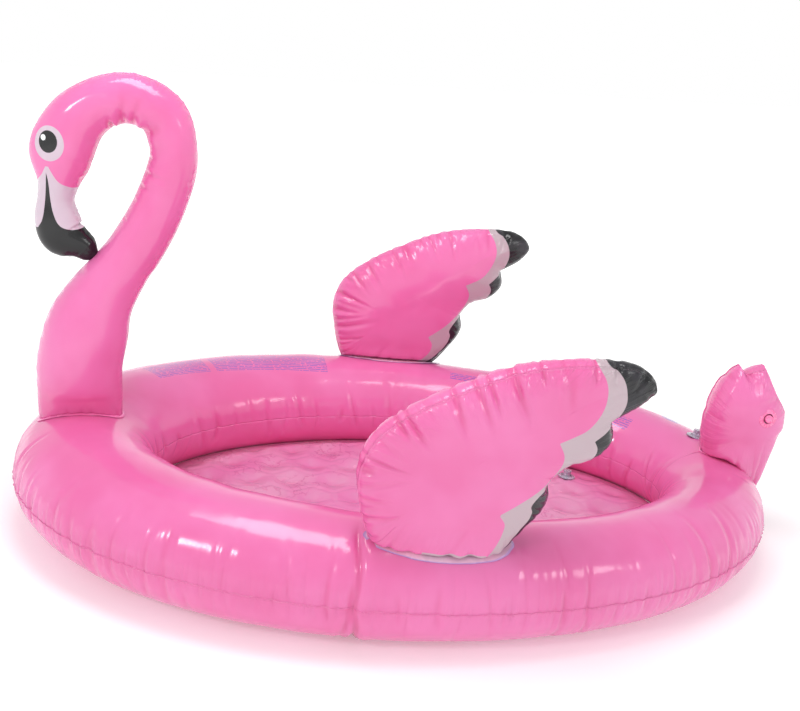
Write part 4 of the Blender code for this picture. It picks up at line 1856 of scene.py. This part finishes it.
@dataclass
class Studio:
    """Plain white floor, soft light all round and the camera."""

    eye: tuple[float, float, float] = (-0.303, -2.213, 1.238)
    forward: tuple[float, float, float] = (0.0501, 0.9372, -0.3453)
    roll: float = 0.0624
    lens: float = 45.189
    shift: float = 0.10
    surround: float = 1.0
    overhead: float = 0.68

    def floor(self) -> None:
        """Lays the pale floor."""
        form = bmesh.new()
        bmesh.ops.create_grid(form, x_segments=1, y_segments=1, size=12.0)
        bmesh.ops.translate(form, vec=(0, 0, -0.0006), verts=form.verts[:])
        mesh = bpy.data.meshes.new("studio_floor")
        form.to_mesh(mesh)
        form.free()
        sheet = linked("studio_floor", mesh)
        shader = Shader("studio floor")
        cloud = shader.grain(shader.place(), 3.0, 1.0)
        parts = shader.add("ShaderNodeSeparateXYZ", {}, {0: shader.place()})
        x, y = parts.signal(0), parts.signal(1)
        away = ((x * x + y * y) ** 0.5).ramp(0.9, 2.6)
        mesh.materials.append(shader.finish(
            Base_Color=shader.mix(cloud, (0.84, 0.84, 0.84), (0.87, 0.87, 0.87)),
            Roughness=0.9,
            Emission_Color=shader.mix(away, (0.22, 0.22, 0.22), (0.60, 0.60, 0.60)),
            Emission_Strength=1.0))

    def lamp(self, name: str, place: Sequence[float], target: Sequence[float],
             size: tuple[float, float], power: float) -> None:
        """Hangs one soft rectangular light.

        Args:
            name: Name of the light.
            place: Where it hangs.
            target: What it faces.
            size: Its two sides.
            power: Its power in watts.
        """
        light = bpy.data.lights.new(name, "AREA")
        light.shape = "RECTANGLE"
        light.size, light.size_y = size
        light.energy = power
        thing = linked(name, light)
        thing.location = place
        thing.rotation_euler = (Vector(target) - Vector(place)).to_track_quat("-Z", "Y").to_euler()

    def camera(self) -> None:
        """Sets the camera."""
        ahead = Vector(self.forward).normalized()
        right = ahead.cross(Vector((0, 0, 1))).normalized()
        above = right.cross(ahead)
        right, above = (right * math.cos(self.roll) + above * math.sin(self.roll),
                        above * math.cos(self.roll) - right * math.sin(self.roll))
        data = bpy.data.cameras.new("camera")
        data.lens = self.lens
        data.sensor_width = 36.0
        data.shift_x = self.shift
        thing = linked("camera", data)
        thing.matrix_world = Matrix.Translation(self.eye) @ Matrix(
            (right, above, -ahead)).transposed().to_4x4()
        bpy.context.scene.camera = thing

    def build(self) -> None:
        """Sets up floor, light and camera."""
        self.floor()
        world = bpy.data.worlds.new("white room")
        world.use_nodes = True
        tree = world.node_tree
        turn = tree.nodes.new("ShaderNodeTexCoord")
        parts = tree.nodes.new("ShaderNodeSeparateXYZ")
        ramp = tree.nodes.new("ShaderNodeMapRange")
        ramp.interpolation_type = "SMOOTHSTEP"
        for key, value in (("From Min", 0.22), ("From Max", 0.60), ("To Min", self.surround),
                           ("To Max", self.overhead)):
            ramp.inputs[key].default_value = value
        tree.links.new(turn.outputs["Generated"], parts.inputs[0])
        tree.links.new(parts.outputs["Z"], ramp.inputs["Value"])
        tree.links.new(ramp.outputs[0], tree.nodes["Background"].inputs["Strength"])
        tree.nodes["Background"].inputs["Color"].default_value = (1.0, 1.0, 1.0, 1.0)
        bpy.context.scene.world = world
        bpy.context.scene.view_settings.view_transform = "Standard"
        self.lamp("overhead", (-0.3, -0.4, 2.9), (0, 0, 0.3), (1.8, 1.0), 34)
        self.lamp("front_left", (-2.4, -2.6, 2.6), (-0.4, 0, 0.4), (0.7, 0.5), 22)
        self.lamp("right", (2.6, -2.2, 1.9), (0.2, 0, 0.3), (1.0, 0.6), 9)
        self.camera()


def main() -> None:
    """Builds the pool around the frame."""
    logging.basicConfig(level=logging.INFO, format="%(message)s")
    Studio().build()
    ring = Ring()
    ring.build()
    PaddedFloor(ring).build()
    Neck(ring).build()
    feathers = VinylFinish("wing film", inked=True).material(FeatherPrint())
    Wing("wing_left", -1, ring).build(feathers)
    Wing("wing_right", 1, ring).build(feathers)
    Tail(ring).build()
    pale = FlangeFinish("wing patch film")
    plain = FlangeFinish("body patch film", (0.90, 0.19, 0.48), (0.80, 0.12, 0.36),
                         (0.92, 0.23, 0.52), 0.2)
    for patch in (
            Foot(ring, "wing_left_base_flange", (0.044, -0.505), (0.149, 0.047), pale, 3),
            Foot(ring, "wing_right_base_flange", (0.044, 0.505), (0.149, 0.047), pale, 4),
            Foot(ring, "neck_base_flange", (-0.746, 0.0), (0.106, 0.059), plain, 5),
            Foot(ring, "tail_base_flange", (0.832, 0.0), (0.064, 0.046), plain, 6)):
        patch.build()
    clear = MouldingFinish("clear valve vinyl", (0.78, 0.72, 0.84), (0.66, 0.62, 0.76), 0.55)
    pink = MouldingFinish("pink valve vinyl", (0.90, 0.16, 0.38), (0.94, 0.24, 0.48))
    Valve("ring_valve", BODY, clear, Slot.CLEAR, ("ring_upper_film",)).build()
    Valve("floor_valve", BODY, clear, Slot.CLEAR, ("floor_quilted_top",)).build()
    Valve("neck_valve", "neck", pink, Slot.PINK_VALVE, ("neck_right_film",), 0.011).build()
    Valve("tail_valve", "tail", pink, Slot.PINK_VALVE, ("tail_left_film",), 0.011).build()


if __name__ == "__main__":
    main()
